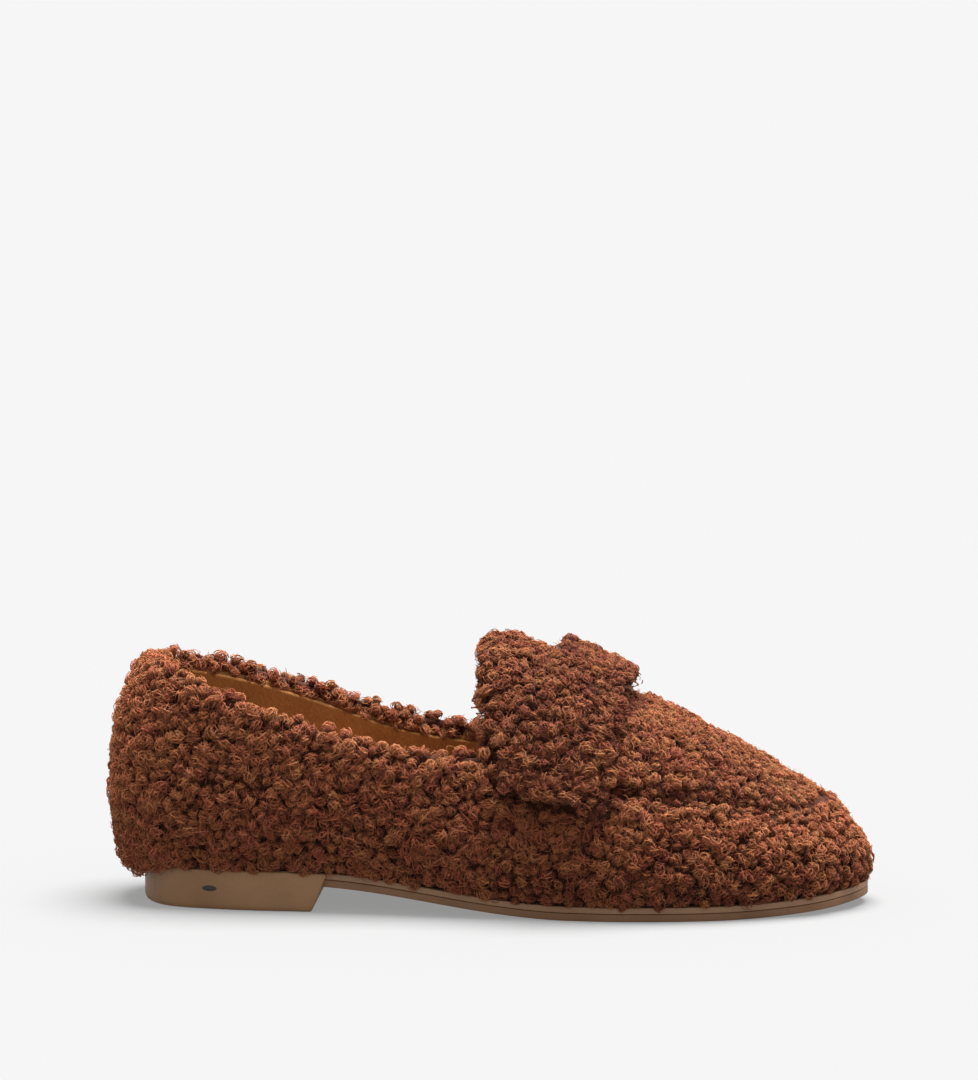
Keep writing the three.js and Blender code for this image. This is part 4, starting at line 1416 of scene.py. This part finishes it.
    def thin_to_toe(self, s: Array, t: Array, d: Array) -> Array:
        """Returns distances of the ground cloth, thinner towards the top of the toe."""
        x = self.last.point(s, t)[:, 0]
        share = smooth_step((x - 160) / 38) * smooth_step((t - 0.12) / 0.3)
        return d - share * np.where(d > self.last.pile_in + 1, self.toe_thinning, 0.8)

    def apron_surface(self, u: Array, v: Array, d: Array) -> Array:
        """Gives points of the apron, which crosses the ridge and runs to the toe."""
        last = self.last
        side, rise = over_ridge(v)
        t = self.apron_edge(side * 0.5) * (1 - rise) + rise
        for _ in range(3):
            rear = np.abs(last.s_at_x(side, self.under_strap(t), t))
            sigma = rear + (1 - rear) * u
            t = self.apron_edge(side * sigma) * (1 - rise) + rise
        return last.layer(side * sigma, t, self.thin_to_toe(side * sigma, t, d))

    def apron_edge(self, s: Array) -> Array:
        """Returns the level of the apron's side edges at s."""
        return self.last.seam_level(s) + self.seam_groove

    def under_strap(self, t: Array) -> Array:
        """Returns x of the edge under the strap where the apron starts."""
        return np.maximum(self.last.join + 1, self.last.strap_rear(t) + self.tongue_clear)

    def strap_surface(self, u: Array, v: Array, d: Array) -> Array:
        """Gives points of the saddle strap."""
        last = self.last
        side, rise = over_ridge(v)
        t = last.strap_end_level + (1 - last.strap_end_level) * rise
        width = last.strap_width + last.strap_splay * (1 - smooth_step(rise / 0.8))
        press = self.strap_press * smooth_step((u - 0.66) / 0.34) * smooth_step((rise - 0.35) / 0.4)
        d = d - press * (d > last.strap_in + 1)
        return last.layer(last.s_at_x(side, last.strap_rear(t) + width * u, t), t, d)

    def strap_size(self, points: Array) -> Array:
        """Returns the tufts' size on the strap: shorter along its front edge over the ridge."""
        front = smooth_step((points[:, 0] - 113) / 9) * smooth_step((points[:, 2] - 62) / 14)
        return 1 - 0.12 * front

    def tongue_surface(self, u: Array, v: Array, d: Array) -> Array:
        """Gives points of the tongue's free lobe."""
        last = self.last
        side, rise = over_ridge(v)
        corners = last.s_at_x(np.array([1.0, -1.0]), np.full(2, last.throat + 4), np.full(2, 0.5))
        edge = last.topline_level(corners, self.tongue_rise)
        t = np.where(side > 0, edge[0], edge[1]) * (1 - rise) + rise
        rear = last.throat + 0.8 - self.tongue_flare * smooth_step(rise / 0.5)
        x = rear + (last.strap_rear(t) - self.tongue_clear - rear) * u
        p = last.layer(last.s_at_x(side, x, t), t, d)
        p[:, 2] -= self.tongue_roll * smooth_step((100 - x) / 12) ** 1.5 * smooth_step((t - 0.55) / 0.4)
        return p


# ---------------------------------------------------------------- lining


@dataclass
class Lining:
    """The brushed lining, its rolled edge, and the sock underfoot (mm)."""

    last: Last
    wardrobe: Wardrobe
    roll: float = 1.25
    roll_raise: float = 0.3
    near_drop: float = 3.0
    board: float = 2.0
    pad: float = 3.0
    pad_front: float = 44.0
    nail_head: float = 0.8
    sock: float = 1.6
    ramp: float = 34.0

    def build(self) -> None:
        """Builds the lining's pieces."""
        self.quarter_lining()
        self.rolled_edge()
        self.tongue_lining()
        self.sock_lining()

    def near(self, s: Array) -> Array:
        """Returns 1 along the outer side's topline, where the cuff dips, and 0 elsewhere."""
        x = self.last.point(s, np.full(len(s), 0.6))[:, 0]
        return smooth_step((s - 0.05) / 0.15) * smooth_step((x + 8) / 18) * (1 - smooth_step((x - 62) / 26))

    def quarter_lining(self) -> None:
        """Makes the lining of both quarters in one piece, with faint pulls."""
        last = self.last
        ends = last.join_at(-1), last.join_at(1)

        def surface(u: Array, v: Array, d: Array) -> Array:
            """Gives points of the lining."""
            s = ends[0] + (ends[1] - ends[0]) * u
            t = v * last.topline_level(s, 0.6 - self.near_drop * self.near(s))
            pull = 0.22 * np.sin(s * 41 + 3 * v) * np.sin(v * 5 + s * 17) * smooth_step(v / 0.3)
            return last.layer(s, t, d + pull * (1 - v * v))

        shell = grid_shell(surface, 320, 48, 0.0, last.lining)
        nodes = "quarter_lining_outer", "quarter_lining_inner"
        thing = settle(shell.to_object("quarter_lining"), self.wardrobe.lining, Slot.LINING, nodes)

    def rolled_edge(self) -> None:
        """Makes the soft roll of lining between the lining and the pile along the topline."""
        last = self.last
        ends = last.join_at(-1) + 0.01, last.join_at(1) - 0.01
        s = np.linspace(*ends, 260)
        level = last.topline_level(s, self.roll_raise - self.near_drop * self.near(s))
        middle = (last.lining + last.pile_in) / 2 + 0.3
        line = last.layer(s, level, middle)
        rng = np.random.default_rng(11)
        wave = np.interp(np.arange(260), np.arange(0, 265, 5), rng.normal(0, 0.13, 53))
        body = tubes(line[None], (self.roll + wave)[None], 14)
        thing = MeshData(body.reshape(-1, 3), tube_faces(260, 14)).to_object("topline_roll")
        settle(thing, self.wardrobe.lining, Slot.LINING)

    def tongue_lining(self) -> None:
        """Makes the lining under the tongue."""
        upper = Upper(self.last, CurlYarn(), self.wardrobe)

        def surface(u: Array, v: Array, d: Array) -> Array:
            """Gives points of the tongue's lining."""
            return upper.tongue_surface(0.02 + u * 0.96, 0.01 + v * 0.98, d)

        thing = grid_shell(surface, 24, 90, 0.0, self.last.lining).to_object("tongue_lining_cloth")
        settle(thing, self.wardrobe.lining, Slot.LINING, ("tongue_lining",), "tongue")

    def sock_height(self, x: Array) -> Array:
        """Returns the height of the sock's underside at x."""
        seat = self.last.seat
        ramp = 1 - smooth_step((x - self.pad_front - 4) / self.ramp)
        return self.last.feather(x) + self.board + seat + (self.nail_head + self.pad + 2 * seat) * ramp

    def sock_lining(self) -> None:
        """Makes the sock with a softly rounded edge."""
        inset = self.last.pile_out + self.last.seat
        thing = SolePlate(self.last, "sock_cloth", inset, self.sock_height, self.sock, 0.7).make()
        settle(thing, self.wardrobe.lining, Slot.LINING, ("sock_lining",))


# ---------------------------------------------------------------- sole


@dataclass
class SolePlate:
    """A bent layer of the bottom with rounded edges (mm)."""

    last: Last
    name: str
    inset: float
    height: Callable[[Array], Array]
    thickness: float
    rounding: float
    stations: int = 150

    def make(self) -> Thing:
        """Makes the layer's mesh: rings round its edge and strips across its faces."""
        arc = np.linspace(0, math.pi / 2, 5)
        r = min(self.rounding, self.thickness / 2 - 0.01)
        low = [(r * (1 - math.sin(a)), r * (1 - math.cos(a))) for a in arc]
        profile = low + [(inset, self.thickness - z) for inset, z in low[::-1]]
        half = np.linspace(0, 1, self.stations + 1)
        s = np.concatenate([half, -half[-2:0:-1]])
        rings = []
        for inset, z in profile:
            plan = self.last.edge(s, self.inset + inset)
            rings.append(np.column_stack([plan, self.height(plan[:, 0]) + z]))
        count = len(s)
        _, walls = ring_quads(len(rings), count)
        i = np.arange(1, self.stations)
        caps = []
        for ring, up in ((0, False), (len(rings) - 1, True)):
            base = ring * count
            left = np.concatenate([[base], base + i, [base + self.stations]])
            right = np.concatenate([[base], base + count - i, [base + self.stations]])
            quads = np.stack([left[:-1], left[1:], right[1:], right[:-1]], 1)
            caps.append(quads if up else quads[:, ::-1])
        faces = [list(dict.fromkeys(f)) for f in np.concatenate([walls, *caps]).tolist()]
        return face_object(self.name, np.concatenate(rings), faces)


@dataclass
class Sole:
    """The two sole layers and the moulded heel (mm)."""

    last: Last
    wardrobe: Wardrobe
    edge_round: float = 0.4
    heel_voxel: float = 0.55
    dot_place: tuple[float, float] = (-5.0, 7.4)
    dot_size: tuple[float, float] = (5.4, 2.0)

    def build(self) -> None:
        """Builds the layers and the heel."""
        last = self.last
        lower = SolePlate(last, "sole_tread", 0.0, last.underside, last.outsole + 0.2, self.edge_round)
        upper = SolePlate(last, "sole_midlayer", 0.0, self.midsole_height, last.midsole, self.edge_round)
        settle(lower.make(), self.wardrobe.tread, Slot.TREAD, ("outsole",))
        settle(upper.make(), self.wardrobe.midsole, Slot.MIDSOLE, ("midsole",))
        self.heel()
        self.heel_dot()

    def midsole_height(self, x: Array) -> Array:
        """Returns the height of the midsole's underside at x."""
        return self.last.underside(x) + self.last.outsole + self.last.seat

    def heel_dot(self) -> None:
        """Makes the small plain oval stud in the outer side of the heel."""
        last = self.last
        s = np.linspace(0.02, 0.3, 200)
        side = last.edge(s, -last.heel_rim)
        shares = np.array([1.0, 0.92, 0.75, 0.4, 0.04])
        u, v = (x.ravel() for x in np.meshgrid(np.linspace(0, 1, 33)[:-1], shares))
        x = self.dot_place[0] + self.dot_size[0] / 2 * v * np.cos(2 * math.pi * u)
        z = self.dot_place[1] + self.dot_size[1] / 2 * v * np.sin(2 * math.pi * u)
        proud = np.repeat(np.array([-0.3, 0.1, 0.2, 0.24, 0.25]), 32)
        y = np.interp(x, side[:, 0], side[:, 1]) - proud
        number, quads = ring_quads(5, 32)
        faces = [*quads.tolist(), number[-1].tolist(), number[0, ::-1].tolist()]
        settle(face_object("heel_dot", np.stack([x, y, z], 1), faces), self.wardrobe.dot, Slot.HEEL)

    def heel(self) -> None:
        """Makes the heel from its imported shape, with softened edges."""
        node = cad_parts["heel_block"]
        thing = new_object("heel_moulding", node.data.copy())
        thing.matrix_world = node.matrix_world
        soften(thing, self.heel_voxel, 4)
        thing.data.shade_smooth()
        settle(thing, self.wardrobe.heel, Slot.HEEL, ("heel_block",))


def dress_hidden_parts(wardrobe: Wardrobe) -> None:
    """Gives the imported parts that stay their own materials."""
    finishes = {
        "bottom_filler": wardrobe.cork,
        "shank": wardrobe.steel,
        "insole_board": wardrobe.board,
        "heel_pad": wardrobe.foam,
        "heel_counter": wardrobe.stiffener,
        "toe_puff": wardrobe.stiffener,
        "vamp_lining": wardrobe.lining,
        "strap_backing": wardrobe.lining,
        "heel_nail": wardrobe.steel,
        "topline_tape": wardrobe.ground,
    }
    for name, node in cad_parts.items():
        for stem, material in finishes.items():
            if name.startswith(stem):
                dress(node, material)


# ---------------------------------------------------------------- studio


@dataclass
class Studio:
    """A pale floor under an even sky and one soft high light, and a long-lens camera."""

    sky: float = 0.92
    high_light: float = 4.8
    light_width: float = 44.0
    light_from: tuple[float, float, float] = (0.1, 0.12, 1.0)
    floor_glow: float = 0.3
    distance: float = 2.0
    elevation: float = 9.0
    pitch: float = 6.6798
    yaw: float = 3.5
    lens: float = 193.175
    target: tuple[float, float, float] = (0.0891, 0.0, 0.0432)

    def build(self) -> None:
        """Builds floor, light and camera."""
        scene = bpy.context.scene
        scene.view_settings.view_transform = "Standard"
        self.floor()
        self.light()
        scene.camera = self.camera()

    def floor(self) -> None:
        """Lays the floor, as bright as the sky where nothing shades it."""
        mesh = bpy.data.meshes.new("studio_floor")
        grid = bmesh.new()
        bmesh.ops.create_grid(grid, x_segments=8, y_segments=8, size=60)
        grid.to_mesh(mesh)
        grid.free()
        thing = new_object("studio_floor", mesh)
        nodes = Nodes("studio_floor")
        value = (1 - self.floor_glow) / (1 + self.high_light)
        nodes.surface_value(Base_Color=(value, value, value, 1), Roughness=1.0, Specular_IOR_Level=0.0)
        nodes.surface_value(Emission_Color=(1, 1, 1, 1), Emission_Strength=self.floor_glow * self.sky)
        dress(thing, nodes.material)

    def light(self) -> None:
        """Lights the scene with an even sky and a broad sun."""
        world = bpy.data.worlds.new("studio_sky")
        world.use_nodes = True
        sky = world.node_tree.nodes["Background"]
        sky.inputs["Color"].default_value = (1, 1, 1, 1)
        sky.inputs["Strength"].default_value = self.sky
        bpy.context.scene.world = world
        lamp = bpy.data.lights.new("high_light", "SUN")
        lamp.angle = math.radians(self.light_width)
        tilt = Vector(self.light_from).normalized()
        lamp.energy = self.sky * self.high_light * math.pi / tilt.z
        new_object("high_light", lamp).rotation_euler = tilt.to_track_quat("Z", "Y").to_euler()

    def camera(self) -> Thing:
        """Sets up the camera."""
        yaw, rise = math.radians(self.yaw), math.radians(self.elevation)
        ahead = Vector((-math.sin(yaw), math.cos(yaw), 0.0))
        lens = bpy.data.cameras.new("studio_camera")
        lens.lens = self.lens
        lens.sensor_width = 36
        lens.clip_end = 200
        thing = new_object("studio_camera", lens)
        back = ahead * self.distance * math.cos(rise)
        thing.location = Vector(self.target) - back + Vector((0, 0, self.distance * math.sin(rise)))
        down = math.radians(self.pitch)
        look = ahead * math.cos(down) - Vector((0, 0, math.sin(down)))
        thing.rotation_euler = look.to_track_quat("-Z", "Y").to_euler()
        return thing


def main() -> None:
    """Builds the slipper's looks in order."""
    logging.basicConfig(level=logging.INFO, format="%(message)s", stream=sys.stdout)
    last = Last()
    wardrobe = Wardrobe()
    Sole(last, wardrobe).build()
    Lining(last, wardrobe).build()
    Upper(last, CurlYarn(), wardrobe).build()
    dress_hidden_parts(wardrobe)
    Studio().build()


if __name__ == "__main__":
    main()
